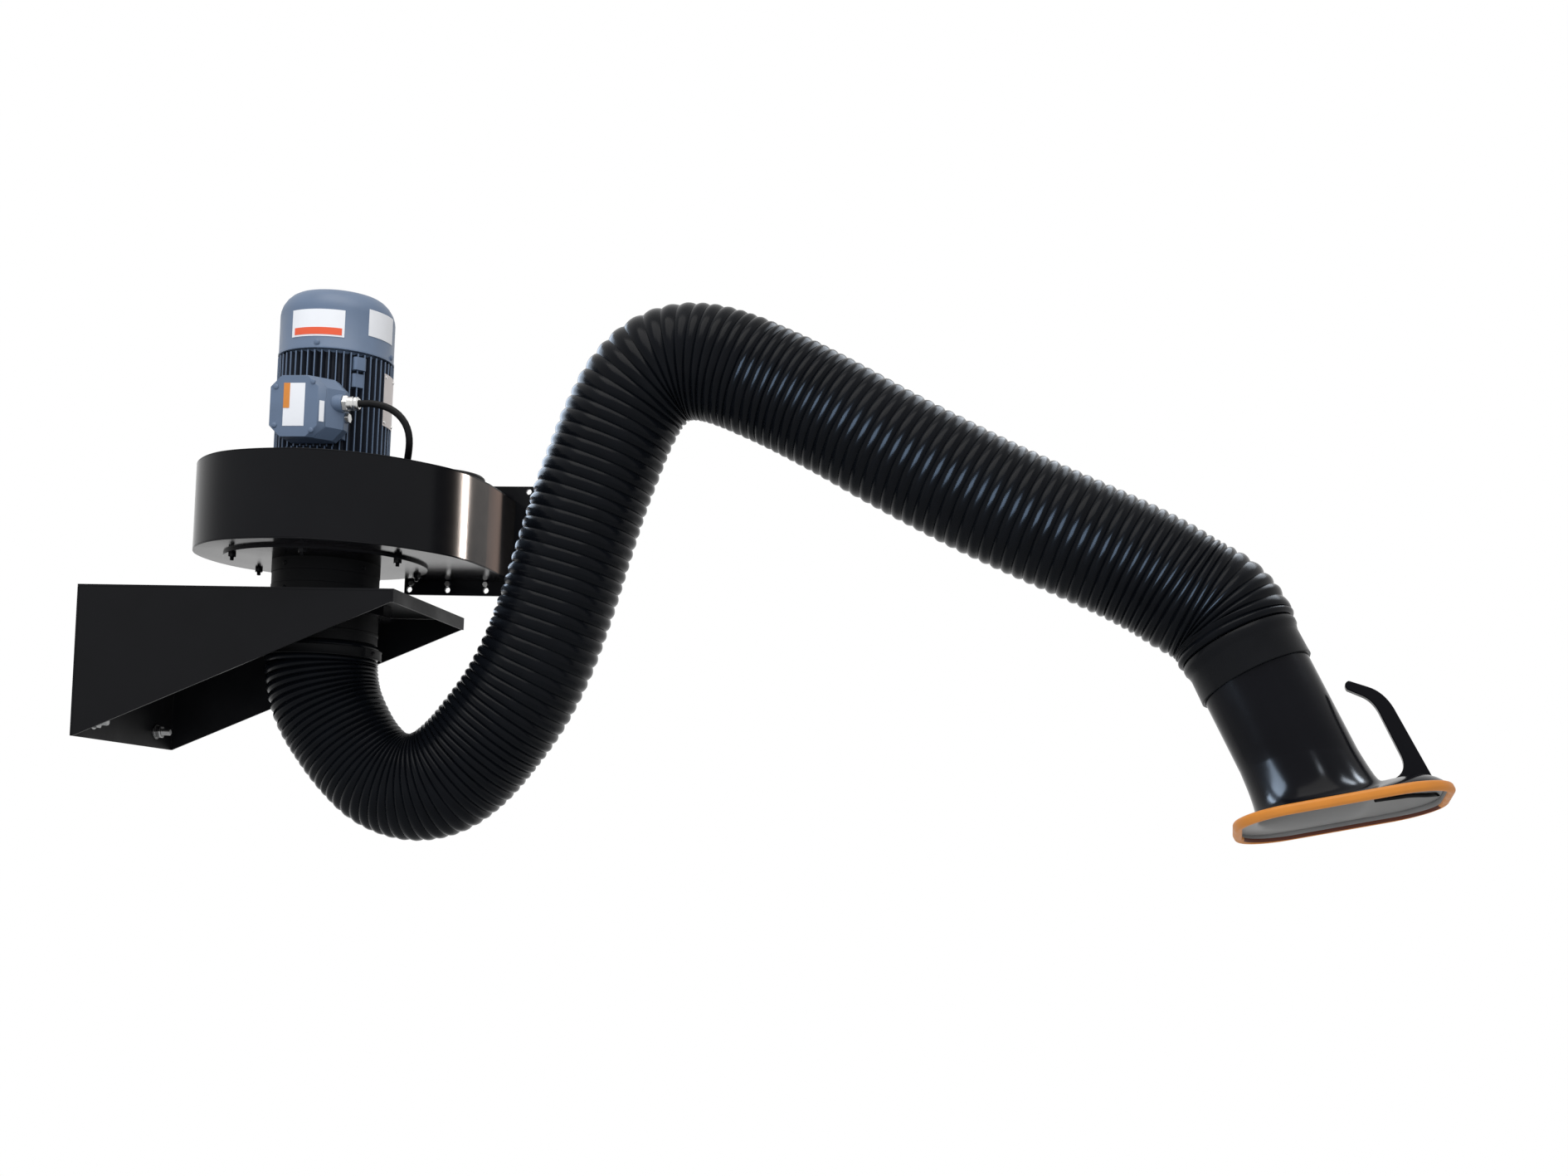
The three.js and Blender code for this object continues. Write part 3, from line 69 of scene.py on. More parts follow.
def make_camera():
    data = bpy.data.cameras.new("camera")
    data.sensor_width = SENSOR_MM
    data.lens = SENSOR_MM * FOCAL_LENGTH_PX / PHOTO_WIDTH
    data.shift_y = AXIS_DROP_PX / PHOTO_WIDTH
    camera = bpy.data.objects.new("camera", data)
    bpy.context.collection.objects.link(camera)
    ahead = Vector((
        -math.sin(CAMERA_YAW) * math.cos(CAMERA_PITCH),
        math.cos(CAMERA_YAW) * math.cos(CAMERA_PITCH),
        math.sin(CAMERA_PITCH),
    ))
    level = Vector((math.cos(CAMERA_YAW), math.sin(CAMERA_YAW), 0))
    above = level.cross(ahead)
    right = level * math.cos(CAMERA_ROLL) + above * math.sin(CAMERA_ROLL)
    up = above * math.cos(CAMERA_ROLL) - level * math.sin(CAMERA_ROLL)
    turn = Matrix((right, up, -ahead)).transposed().to_4x4()
    camera.matrix_world = Matrix.Translation(CAMERA_PLACE) @ turn
    bpy.context.scene.camera = camera


make_camera()

# Light, background and floor

FLOOR_LEVEL = -1.1
WORLD_LEVEL = 0.5


def background_share(nodes, links):
    """One where a camera, glossy or transmission ray looks at the background."""
    path = nodes.new("ShaderNodeLightPath")
    first = nodes.new("ShaderNodeMath")
    first.operation = "MAXIMUM"
    links.new(path.outputs["Is Camera Ray"], first.inputs[0])
    links.new(path.outputs["Is Glossy Ray"], first.inputs[1])
    second = nodes.new("ShaderNodeMath")
    second.operation = "MAXIMUM"
    links.new(first.outputs[0], second.inputs[0])
    links.new(path.outputs["Is Transmission Ray"], second.inputs[1])
    return second.outputs[0]


def make_world():
    world = bpy.data.worlds.new("studio")
    world.use_nodes = True
    nodes = world.node_tree.nodes
    links = world.node_tree.links
    soft = nodes["Background"]
    soft.inputs["Color"].default_value = (0.96, 0.98, 1.0, 1)
    soft.inputs["Strength"].default_value = WORLD_LEVEL
    white = nodes.new("ShaderNodeBackground")
    white.inputs["Color"].default_value = (1, 1, 1, 1)
    white.inputs["Strength"].default_value = 1
    mix = nodes.new("ShaderNodeMixShader")
    links.new(background_share(nodes, links), mix.inputs[0])
    links.new(soft.outputs[0], mix.inputs[1])
    links.new(white.outputs[0], mix.inputs[2])
    links.new(mix.outputs[0], nodes["World Output"].inputs["Surface"])
    bpy.context.scene.world = world


def make_lamp(name, place, target, size, power, colour, lights=True, mirrored=True):
    """Panel lamp that lights the object, is mirrored in its gloss, or both."""
    data = bpy.data.lights.new(name, "AREA")
    data.shape = "RECTANGLE"
    data.size = size[0]
    data.size_y = size[1]
    data.energy = power
    data.color = colour
    lamp = bpy.data.objects.new(name, data)
    bpy.context.collection.objects.link(lamp)
    lamp.location = place
    aim = Vector(target) - Vector(place)
    lamp.rotation_euler = aim.to_track_quat("-Z", "Y").to_euler()
    lamp.visible_camera = False
    lamp.visible_diffuse = lights
    lamp.visible_glossy = mirrored
    return lamp


def make_floor():
    west, east, south, north = -1.6, 3.2, -2.4, 1.6
    mesh = bpy.data.meshes.new("floor")
    corners = [(west, south), (east, south), (east, north), (west, north)]
    mesh.from_pydata([(x, y, FLOOR_LEVEL) for x, y in corners], [], [(0, 1, 2, 3)])
    floor = bpy.data.objects.new("floor", mesh)
    bpy.context.collection.objects.link(floor)
    paint = bpy.data.materials.new("floor_paint")
    paint.use_nodes = True
    shader = paint.node_tree.nodes["Principled BSDF"]
    shader.inputs["Base Color"].default_value = (0.82, 0.82, 0.81, 1)
    shader.inputs["Roughness"].default_value = 0.8
    mesh.materials.append(paint)


make_world()
make_floor()
COOL = (0.80, 0.89, 1.0)
NEUTRAL = (1.0, 0.98, 0.95)
MIDDLE = (0.9, 0.0, 0.1)
make_lamp("front_window", (1.3, -2.9, 0.2), MIDDLE, (1.0, 1.0), 22, COOL, mirrored=False)
make_lamp("left_window", (-1.3, -1.9, 1.3), MIDDLE, (1.2, 1.2), 14, COOL, mirrored=False)
make_lamp("ceiling", (0.9, -1.0, 2.2), MIDDLE, (2.4, 1.6), 40, NEUTRAL)
bpy.context.scene.view_settings.view_transform = "Standard"

# Materials


def finish(name, colour, roughness, metallic=0.0, specular=0.5, change=0.2, mottle=30.0, grain=600.0, bump=0.05):
    material = bpy.data.materials.new(name)
    material.use_nodes = True
    nodes = material.node_tree.nodes
    links = material.node_tree.links
    shader = nodes["Principled BSDF"]
    shader.inputs["Metallic"].default_value = metallic
    shader.inputs["Specular IOR Level"].default_value = specular
    place = nodes.new("ShaderNodeTexCoord")
    cloud = nodes.new("ShaderNodeTexNoise")
    cloud.inputs["Scale"].default_value = mottle
    cloud.inputs["Detail"].default_value = 5
    links.new(place.outputs["Object"], cloud.inputs["Vector"])
    tint = nodes.new("ShaderNodeMix")
    tint.data_type = "RGBA"
    tint.inputs[6].default_value = (*[channel * (1 - change) for channel in colour], 1)
    tint.inputs[7].default_value = (*[min(1, channel * (1 + change)) for channel in colour], 1)
    links.new(cloud.outputs["Fac"], tint.inputs["Factor"])
    links.new(tint.outputs[2], shader.inputs["Base Color"])
    worn = nodes.new("ShaderNodeMapRange")
    worn.inputs["From Min"].default_value = 0.3
    worn.inputs["From Max"].default_value = 0.7
    worn.inputs["To Min"].default_value = roughness * 0.85
    worn.inputs["To Max"].default_value = min(1, roughness * 1.2)
    links.new(cloud.outputs["Fac"], worn.inputs["Value"])
    links.new(worn.outputs["Result"], shader.inputs["Roughness"])
    speckle = nodes.new("ShaderNodeTexNoise")
    speckle.inputs["Scale"].default_value = grain
    speckle.inputs["Detail"].default_value = 3
    links.new(place.outputs["Object"], speckle.inputs["Vector"])
    relief = nodes.new("ShaderNodeBump")
    relief.inputs["Strength"].default_value = bump
    relief.inputs["Distance"].default_value = 0.001
    links.new(speckle.outputs["Fac"], relief.inputs["Height"])
    links.new(relief.outputs["Normal"], shader.inputs["Normal"])
    return material


BRACKET_PAINT = finish("bracket_paint", (0.0055, 0.0055, 0.0063), 0.42, 0.0, 0.10, 0.2, 18, 900, 0.08)
CASING_PAINT = finish("casing_paint", (0.0060, 0.0061, 0.0072), 0.15, 0.0, 0.09, 0.2, 12, 300, 0.02)
MOTOR_PAINT = finish("motor_paint", (0.112, 0.153, 0.226), 0.42, 0.0, 0.35, 0.14, 26, 700, 0.06)
# Painted shade: dark navy for the roots and flanks of the motor fins, where shade falls between them.
PAINTED_FIN_SHADE = finish("painted_fin_shade", (0.016, 0.019, 0.027), 0.55, 0.0, 0.2, 0.2, 26, 700, 0.06)
PIPE_PAINT = finish("pipe_paint", (0.0070, 0.0070, 0.0074), 0.50, 0.0, 0.06, 0.2, 18, 900, 0.08)
STEEL = finish("bare_steel", (0.62, 0.62, 0.61), 0.30, 1.0, 0.5, 0.15, 60, 900, 0.04)
ANCHOR_STEEL = finish("anchor_steel", (0.36, 0.36, 0.36), 0.36, 1.0, 0.5, 0.15, 60, 900, 0.04)
ALLOY = finish("link_alloy", (0.55, 0.56, 0.57), 0.36, 1.0, 0.5, 0.12, 40, 900, 0.05)
IRON = finish("core_iron", (0.10, 0.09, 0.08), 0.60, 0.6, 0.4, 0.25, 50, 700, 0.10)
LINING = finish("friction_lining", (0.09, 0.08, 0.07), 0.80, 0.0, 0.3, 0.25, 90, 900, 0.15)
FAN_PLASTIC = finish("fan_plastic", (0.012, 0.012, 0.012), 0.55, 0.0, 0.3, 0.2, 30, 600, 0.05)
HOSE_PLASTIC = finish("hose_plastic", (0.0035, 0.0041, 0.0056), 0.22, 0.0, 0.06, 0.3, 35, 500, 0.05)
HOOD_PLASTIC = finish("hood_plastic", (0.0045, 0.0046, 0.0062), 0.17, 0.0, 0.06, 0.2, 16, 120, 0.006)
HOOD_LINER = finish("hood_liner", (0.27, 0.265, 0.26), 0.45, 0.0, 0.4, 0.12, 20, 500, 0.04)
BLACK_RUBBER = finish("black_rubber", (0.006, 0.006, 0.0065), 0.45, 0.0, 0.12, 0.2, 45, 800, 0.08)
CUFF_RUBBER = finish("cuff_rubber", (0.0050, 0.0054, 0.0066), 0.28, 0.0, 0.08, 0.2, 45, 600, 0.04)
ORANGE_RUBBER = finish("orange_rubber", (0.62, 0.22, 0.030), 0.48, 0.0, 0.35, 0.12, 40, 700, 0.08)
# Painted shade: dark red-brown for the inner face of the orange trim on the far side, which lies in shade.
PAINTED_SHADE_RUBBER = finish("painted_shade_rubber", (0.10, 0.030, 0.018), 0.60, 0.0, 0.2, 0.15, 40, 700, 0.08)
LABEL_WHITE = finish("label_white", (0.78, 0.78, 0.80), 0.40, 0.0, 0.4, 0.06, 25, 500, 0.02)
LABEL_RED = finish("label_red", (0.72, 0.10, 0.04), 0.42, 0.0, 0.4, 0.10, 25, 500, 0.02)
LABEL_ORANGE = finish("label_orange", (0.62, 0.22, 0.04), 0.42, 0.0, 0.4, 0.10, 25, 500, 0.02)
PLATE_METAL = finish("rating_plate", (0.62, 0.56, 0.54), 0.38, 0.2, 0.5, 0.10, 40, 600, 0.03)

SLOT_FINISH = {
    "bracket_paint": BRACKET_PAINT,
    "casing_paint": CASING_PAINT,
    "motor_paint": MOTOR_PAINT,
    "bare_steel": STEEL,
    "link_alloy": ALLOY,
    "core_iron": IRON,
    "friction_lining": LINING,
    "fan_plastic": FAN_PLASTIC,
    "hose_plastic": HOSE_PLASTIC,
    "hood_plastic": HOOD_PLASTIC,
    "black_rubber": BLACK_RUBBER,
    "orange_rubber": ORANGE_RUBBER,
}


def dress_nodes():
    for row in frame["record"]["subparts"]:
        node = frame["nodes"][row["node"]]
        node.data.materials.clear()
        node.data.materials.append(SLOT_FINISH[row["material_slot"]])


dress_nodes()

# Shapes


class Shape:
    """Vertices and faces of one piece, gathered from several forms."""

    def __init__(self):
        self.vertices = []
        self.faces = []
        self.tones = []

    def add(self, vertices, faces, tone=0, matrix=None):
        start = len(self.vertices)
        for vertex in vertices:
            point = Vector(vertex)
            self.vertices.append(matrix @ point if matrix else point)
        for face in faces:
            self.faces.append([start + corner for corner in face])
            self.tones.append(tone)
        return self


def make_piece(name, shape, body, materials, crease=35, bevel=0.0):
    mesh = bpy.data.meshes.new(name)
    mesh.from_pydata([tuple(point * MM) for point in shape.vertices], [], shape.faces)
    for material in materials:
        mesh.materials.append(material)
    mesh.polygons.foreach_set("material_index", shape.tones)
    mesh.polygons.foreach_set("use_smooth", [True] * len(shape.faces))
    mesh.set_sharp_from_angle(angle=math.radians(crease))
    mesh.update()
    piece = bpy.data.objects.new(name, mesh)
    bpy.context.collection.objects.link(piece)
    if bevel:
        round_edges(piece, bevel)
    if body:
        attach(piece, body)
    return piece


def round_edges(piece, width):
    edges = piece.modifiers.new("edges", "BEVEL")
    edges.width = width * MM
    edges.segments = 2
    edges.limit_method = "ANGLE"
    edges.angle_limit = math.radians(40)


def joined_rings(rings, loop=False, caps=True):
    """Skin over rings of equal point counts, closed round as a loop or with flat caps."""
    sides = len(rings[0])
    vertices = [point for ring in rings for point in ring]
    faces = []
    last = len(rings) if loop else len(rings) - 1
    for row in range(last):
        after = (row + 1) % len(rings)
        for side in range(sides):
            beside = (side + 1) % sides
            faces.append((row * sides + side, row * sides + beside, after * sides + beside, after * sides + side))
    if caps and not loop:
        faces.append(tuple(reversed(range(sides))))
        end = (len(rings) - 1) * sides
        faces.append(tuple(range(end, end + sides)))
    return vertices, faces


def circle(radius, height, sides, centre=(0, 0), start=0.0):
    points = []
    for side in range(sides):
        angle = start + side / sides * TURN
        points.append((centre[0] + radius * math.cos(angle), centre[1] + radius * math.sin(angle), height))
    return points


def revolved(profile, sides=96, loop=True):
    """A profile of (radius, height) pairs turned about the local Z axis."""
    rings = [circle(radius, height, sides) for radius, height in profile]
    return joined_rings(rings, loop)


def prism(outline, low, high):
    bottom = [(x, y, low) for x, y in outline]
    top = [(x, y, high) for x, y in outline]
    return joined_rings([bottom, top])


def hexagon(radius):
    return [(radius * math.cos(step * TURN / 6), radius * math.sin(step * TURN / 6)) for step in range(6)]


def pointing(place, direction):
    """Matrix whose local Z runs along a direction from a place."""
    turn = Vector(direction).to_track_quat("Z", "Y").to_matrix().to_4x4()
    return Matrix.Translation(place) @ turn


def hex_head(shape, place, direction, radius, height, tone=0):
    """Hexagonal bolt head with a chamfered top."""
    matrix = pointing(place, direction)
    base = hexagon(radius)
    crown = [(x * 0.9, y * 0.9) for x, y in base]
    rings = [
        [(x, y, 0) for x, y in base],
        [(x, y, height * 0.85) for x, y in base],
        [(x, y, height) for x, y in crown],
    ]
    shape.add(*joined_rings(rings), tone, matrix)


def thread(shape, place, direction, radius, length, tone=0):
    """Screw end with shallow thread rings."""
    pitch = 1.5
    depth = 0.5
    profile = []
    for step in range(int(length / pitch)):
        profile.append((radius - depth, step * pitch))
        profile.append((radius, (step + 0.5) * pitch))
    profile.append((radius - 1.2, length))
    rings = [circle(size, height, 20) for size, height in profile]
    shape.add(*joined_rings(rings), tone, pointing(place, direction))


def spline(points, steps):
    """Centripetal curve through points, as a dense line."""
    knots = [np.array(point, float) for point in points]
    knots = [2 * knots[0] - knots[1], *knots, 2 * knots[-1] - knots[-2]]
    line = []
    for at in range(1, len(knots) - 2):
        four = knots[at - 1:at + 3]
        gaps = [math.sqrt(np.linalg.norm(four[i + 1] - four[i])) for i in range(3)]
        start = (four[1] - four[0]) / gaps[0] - (four[2] - four[0]) / (gaps[0] + gaps[1]) + (four[2] - four[1]) / gaps[1]
        end = (four[2] - four[1]) / gaps[1] - (four[3] - four[1]) / (gaps[1] + gaps[2]) + (four[3] - four[2]) / gaps[2]
        start = start * gaps[1]
        end = end * gaps[1]
        for step in range(steps):
            t = step / steps
            line.append(
                (2 * t ** 3 - 3 * t ** 2 + 1) * four[1] + (t ** 3 - 2 * t ** 2 + t) * start
                + (3 * t ** 2 - 2 * t ** 3) * four[2] + (t ** 3 - t ** 2) * end
            )
    line.append(knots[-2])
    return np.array(line)


def along(line):
    """Distance of each point of a line from its start."""
    return np.concatenate([[0], np.cumsum(np.linalg.norm(np.diff(line, axis=0), axis=1))])


def at_length(line, lengths, where):
    return np.array([np.interp(where, lengths, line[:, axis]) for axis in range(3)])


# Power cable with its coil, tie and plug

AXIS_X = 302
SCROLL_TOP = 288
CABLE_RADIUS = 5
COIL_CENTRE = (436, 92)
COIL_OUTER = 62
COIL_STEP = 10.8
COIL_TURNS = 4
COIL_START = math.radians(-40)
COIL_END = math.radians(110)
LAYER_LOW = SCROLL_TOP + 1.8 + CABLE_RADIUS
LAYER_HIGH = LAYER_LOW + COIL_STEP
PLUG_TAIL = 18
GLAND_PLACE = (359.3, -100, 370)
GLAND_END = (381.3, -100, 370)
LEAD_ROUTE = [
    GLAND_END, (386, -100, 370), (406, -100, 370), (428, -100, 364), (446, -99, 350), (456, -97, 330),
    (453, -89, 311), (445, -73, 299), (436, -52, LAYER_LOW + 0.4), (429, -28, LAYER_LOW), (430, -4, LAYER_LOW),
    (441, 16, LAYER_LOW), (458, 30, LAYER_LOW),
]
LEAD_POINTS = 38


def smoothstep(value, low, high):
    share = min(1, max(0, (value - low) / (high - low)))
    return share * share * (3 - 2 * share)


def coil_route():
    sweep = COIL_TURNS * TURN + COIL_END - COIL_START
    steps = round(sweep / TURN * 24)
    points = []
    for step in range(steps + 1):
        swept = step / steps * sweep
        turns_in = min(swept, sweep - swept) / TURN
        radius = COIL_OUTER - COIL_STEP * turns_in
        climb = smoothstep(swept, sweep / 2 - math.pi / 2, sweep / 2 + math.pi / 2)
        angle = COIL_START + swept
        points.append((
            COIL_CENTRE[0] + radius * math.cos(angle),
            COIL_CENTRE[1] + radius * math.sin(angle),
            LAYER_LOW + (LAYER_HIGH - LAYER_LOW) * climb,
        ))
    return points


def eased(line, count, passes, held):
    """A line with evenly spaced points and its bends evened out, with a few points held at both ends."""
    lengths = along(line)
    points = np.array([at_length(line, lengths, where) for where in np.linspace(0, lengths[-1], count)])
    for _ in range(passes):
        middle = (points[:-2] + 2 * points[1:-1] + points[2:]) / 4
        points[held:-held] = middle[held - 1:1 - held]
    return points


def heading(angle):
    return Vector((-math.sin(angle), math.cos(angle), 0))


def make_cable():
    coil = coil_route()
    before = Vector(coil[0]) - heading(COIL_START) * 12
    tail = Vector(coil[-1]) + heading(COIL_END) * PLUG_TAIL
    lead = eased(spline([*LEAD_ROUTE, tuple(before), coil[0]], 12), LEAD_POINTS, 6, 3)
    winding = spline([*coil, tuple(tail)], 3)
    route = np.vstack([lead, winding[1:]])
    curve = bpy.data.curves.new("power_cable", "CURVE")
    curve.dimensions = "3D"
    curve.bevel_depth = CABLE_RADIUS * MM
    curve.bevel_resolution = 4
    curve.use_fill_caps = True
    line = curve.splines.new("POLY")
    line.points.add(len(route) - 1)
    for point, place in zip(line.points, route):
        point.co = (*(place * MM), 1)
    cable = bpy.data.objects.new("mains_lead", curve)
    curve.materials.append(BLACK_RUBBER)
    bpy.context.collection.objects.link(cable)
    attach(cable, "base")
    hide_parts("power_cable", "cable_coil")

    plug_frame = pointing(tail + heading(COIL_END) * 0.3, heading(COIL_END))
    plug_shape = Shape()
    relief = []
    for step in range(13):
        share = step / 12
        groove = 0.9 if step % 2 else 0
        relief.append((6.4 + 2.4 * share - groove, 20 * share))
    plug_shape.add(*joined_rings([circle(radius, height, 32) for radius, height in relief]), 0, plug_frame)
    body = [(9, 19), (13.5, 21.5), (15.4, 25), (16, 30), (15.2, 38), (15.2, 44), (16, 49), (16, 53), (15.2, 54)]
    plug_shape.add(*joined_rings([circle(radius, height, 48) for radius, height in body]), 0, plug_frame)
    for side in (-9.5, 9.5):
        pin = [(2.4, 53), (2.4, 70.5), (1.9, 71.6), (1.0, 72)]
        rings = [circle(radius, height, 20, (0, side)) for radius, height in pin]
        plug_shape.add(*joined_rings(rings), 1, plug_frame)
    plug = make_piece("mains_plug", plug_shape, "base", [BLACK_RUBBER, STEEL])
    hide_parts("power_plug")

    tie_shape = Shape()
    middle = COIL_CENTRE[0] - (COIL_OUTER - 1.21 * COIL_STEP)
    half_width = COIL_STEP + 1.5
    bottom = LAYER_LOW - CABLE_RADIUS - 0.4
    top = bottom + COIL_STEP + 2 * CABLE_RADIUS + 0.8
    corner = 4.0
    rings = []
    for grow, reach in [(0, -2.4), (1.2, -2.4), (1.2, 2.4), (0, 2.4)]:
        ring = []
        for side_x, side_z, first in [(1, -1, -90), (1, 1, 0), (-1, 1, 90), (-1, -1, 180)]:
            for step in range(6):
                angle = math.radians(first + 18 * step)
                radius = corner + grow
                x = middle + side_x * (half_width - corner) + radius * math.cos(angle)
                z = (bottom + top) / 2 + side_z * ((top - bottom) / 2 - corner) + radius * math.sin(angle)
                ring.append((x, COIL_CENTRE[1] + reach, z))
        rings.append(ring)
    tie_shape.add(*joined_rings(rings, loop=True))
    head = [(middle - 3, COIL_CENTRE[1] - 3.2), (middle + 3, COIL_CENTRE[1] - 3.2),
            (middle + 3, COIL_CENTRE[1] + 3.2), (middle - 3, COIL_CENTRE[1] + 3.2)]
    tie_shape.add(*prism(head, top + 0.9, top + 4.2))
    tie = make_piece("coil_tie", tie_shape, "base", [BLACK_RUBBER])
    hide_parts("cable_tie")


make_cable()

# Wall bracket and its anchors


def make_bracket():
    for name in ("wall_plate", "top_plate", "gusset_near", "gusset_far"):
        round_edges(frame["nodes"][name], 0.7)
    shape = Shape()
    out = (1, 0, 0)
    for y in (-92, 92):
        for z in (-82, 82):
            washer = [(5.6, 3.3), (11, 3.3), (11, 5.2), (5.6, 5.2)]
            shape.add(*revolved(washer, 40), 0, pointing((0, y, z), out))
            hex_head(shape, (5.2, y, z), out, 9.8, 8.6)
            thread(shape, (13.0, y, z), out, 5, 14)
    anchors = make_piece("anchor_bolts", shape, "base", [ANCHOR_STEEL], crease=30)
    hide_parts("wall_anchor_1", "wall_anchor_2", "wall_anchor_3", "wall_anchor_4")


make_bracket()

# Fan casing

SCROLL_BOTTOM = 165
SCROLL_PLAN = [
    (64, 152), (90, 160), (120, 168), (160, 177), (200, 185), (240, 190), (280, 194), (310, 200), (337, 210),
    (351, 218), (370, 229.5),
]
DUCT_END = 165
DUCT_INNER_X = 84
DUCT_OUTER_X = 226
SCROLL_SHEET = 2
PIPE_RADIUS = 76
INLET_RING_RADIUS = 144
BRACKET_TOP = 106


def scroll_line(offset):
    """Plan of the casing from the tongue round to the outlet, drawn inwards by an offset."""
    plan = []
    for degrees, radius in SCROLL_PLAN:
        angle = math.radians(degrees)
        reach = radius - offset
        plan.append((AXIS_X + reach * math.cos(angle), reach * math.sin(angle), 0))
    spiral = [(x, y) for x, y, _ in spline(plan, 18)]
    start = (AXIS_X + DUCT_INNER_X + offset, DUCT_END)
    end = (AXIS_X + DUCT_OUTER_X - offset, DUCT_END)
    return [start, *spiral, end]


def casing_sheet(outline, hole, low, high):
    """Flat sheet of the casing's plan with a round hole on the fan axis."""
    width = DUCT_OUTER_X - DUCT_INNER_X
    end = [(AXIS_X + DUCT_OUTER_X - step / 8 * width, DUCT_END) for step in range(1, 8)]
    edge = [*outline, *end]
    inner = []
    for x, y in edge:
        angle = math.atan2(y, x - AXIS_X)
        inner.append((AXIS_X + hole * math.cos(angle), hole * math.sin(angle)))
    rings = [
        [(x, y, low) for x, y in edge],
        [(x, y, high) for x, y in edge],
        [(x, y, high) for x, y in inner],
        [(x, y, low) for x, y in inner],
    ]
    return joined_rings(rings, loop=True)


def make_casing():
    outer = scroll_line(0)
    inner = scroll_line(SCROLL_SHEET)
    low = SCROLL_BOTTOM + SCROLL_SHEET
    high = SCROLL_TOP - SCROLL_SHEET
    rings = []
    for (x_out, y_out), (x_in, y_in) in zip(outer, inner):
        rings.append([(x_out, y_out, low), (x_out, y_out, high), (x_in, y_in, high), (x_in, y_in, low)])
    wrap = make_piece("casing_wrap", Shape().add(*joined_rings(rings)), "base", [CASING_PAINT])
    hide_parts("scroll_wrap")
    bottom_shape = Shape().add(*casing_sheet(outer, PIPE_RADIUS - 2, SCROLL_BOTTOM, low))
    bottom = make_piece("casing_bottom", bottom_shape, "base", [CASING_PAINT], bevel=0.5)
    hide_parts("scroll_bottom")
    top_shape = Shape().add(*casing_sheet(outer, 20.9, high, SCROLL_TOP))
    top = make_piece("casing_top", top_shape, "base", [CASING_PAINT], bevel=0.5)
    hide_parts("scroll_top")

    axis = Matrix.Translation((AXIS_X, 0, 0))
    ring_low = SCROLL_BOTTOM - 4
    ring_shape = Shape()
    disc = [(PIPE_RADIUS - 2, ring_low), (INLET_RING_RADIUS - 0.6, ring_low), (INLET_RING_RADIUS, ring_low + 0.6),
            (INLET_RING_RADIUS, SCROLL_BOTTOM - 0.1), (PIPE_RADIUS - 2, SCROLL_BOTTOM - 0.1)]
    ring_shape.add(*revolved(disc, 128), 0, axis)
    for bolt in range(6):
        angle = math.radians(-141 + 60 * bolt)
        x = AXIS_X + (INLET_RING_RADIUS - 9) * math.cos(angle)
        y = (INLET_RING_RADIUS - 9) * math.sin(angle)
        hex_head(ring_shape, (x, y, ring_low), (0, 0, -1), 6.0, 5.0)
        thread(ring_shape, (x, y, ring_low - 4.8), (0, 0, -1), 3.0, 5)
    ring_piece = make_piece("inlet_disc", ring_shape, "base", [CASING_PAINT])
    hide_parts("inlet_ring")

    pipe_shape = Shape()
    pipe = [
        (PIPE_RADIUS - 2, BRACKET_TOP), (PIPE_RADIUS + 0.6, BRACKET_TOP), (PIPE_RADIUS + 0.6, BRACKET_TOP + 20),
        (PIPE_RADIUS, BRACKET_TOP + 20.6), (PIPE_RADIUS, ring_low - 18), (PIPE_RADIUS + 0.6, ring_low - 17.4),
        (PIPE_RADIUS + 0.6, ring_low), (PIPE_RADIUS - 2, ring_low),
    ]
    pipe_shape.add(*revolved(pipe, 128), 0, axis)
    for z in (BRACKET_TOP + 11, ring_low - 9):
        for screw in range(4):
            angle = math.radians(-115 + 90 * screw)
            out = Vector((math.cos(angle), math.sin(angle), 0))
            place = Vector((AXIS_X, 0, z)) + out * PIPE_RADIUS
            dome = [(3.8, 0), (3.6, 1.2), (2.6, 2.2), (1.0, 2.6)]
            rings = [circle(radius, height, 16) for radius, height in dome]
            pipe_shape.add(*joined_rings(rings), 0, pointing(place, out))
    pipe_piece = make_piece("inlet_tube", pipe_shape, "base", [PIPE_PAINT])
    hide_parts("inlet_pipe")

    round_edges(frame["nodes"]["outlet_flange"], 0.6)
    bolt_shape = Shape()
    for x in (370, 427, 487, 544):
        hex_head(bolt_shape, (x, DUCT_END + 0.3, 160), (0, -1, 0), 4.6, 4.5)
    make_piece("flange_bolts", bolt_shape, "base", [STEEL])


make_casing()

# Motor

COWL_RADIUS = 82
COWL_BOTTOM = 455
COWL_TOP = 550
FRAME_BOTTOM = 310
FRAME_TOP = 452
FRAME_ROOT = 70
FIN_OUTER = 82
FIN_COUNT = 50
FIN_POINTS = 8
FIN_TIP = (3, 5)
FLANGE_RADIUS = 94
BOX_CENTRE = (310, 361)
BOX_SIZE = (98, 86)
BOX_BACK = -83
BOX_DEPTH = 34
LID_THICK = 8


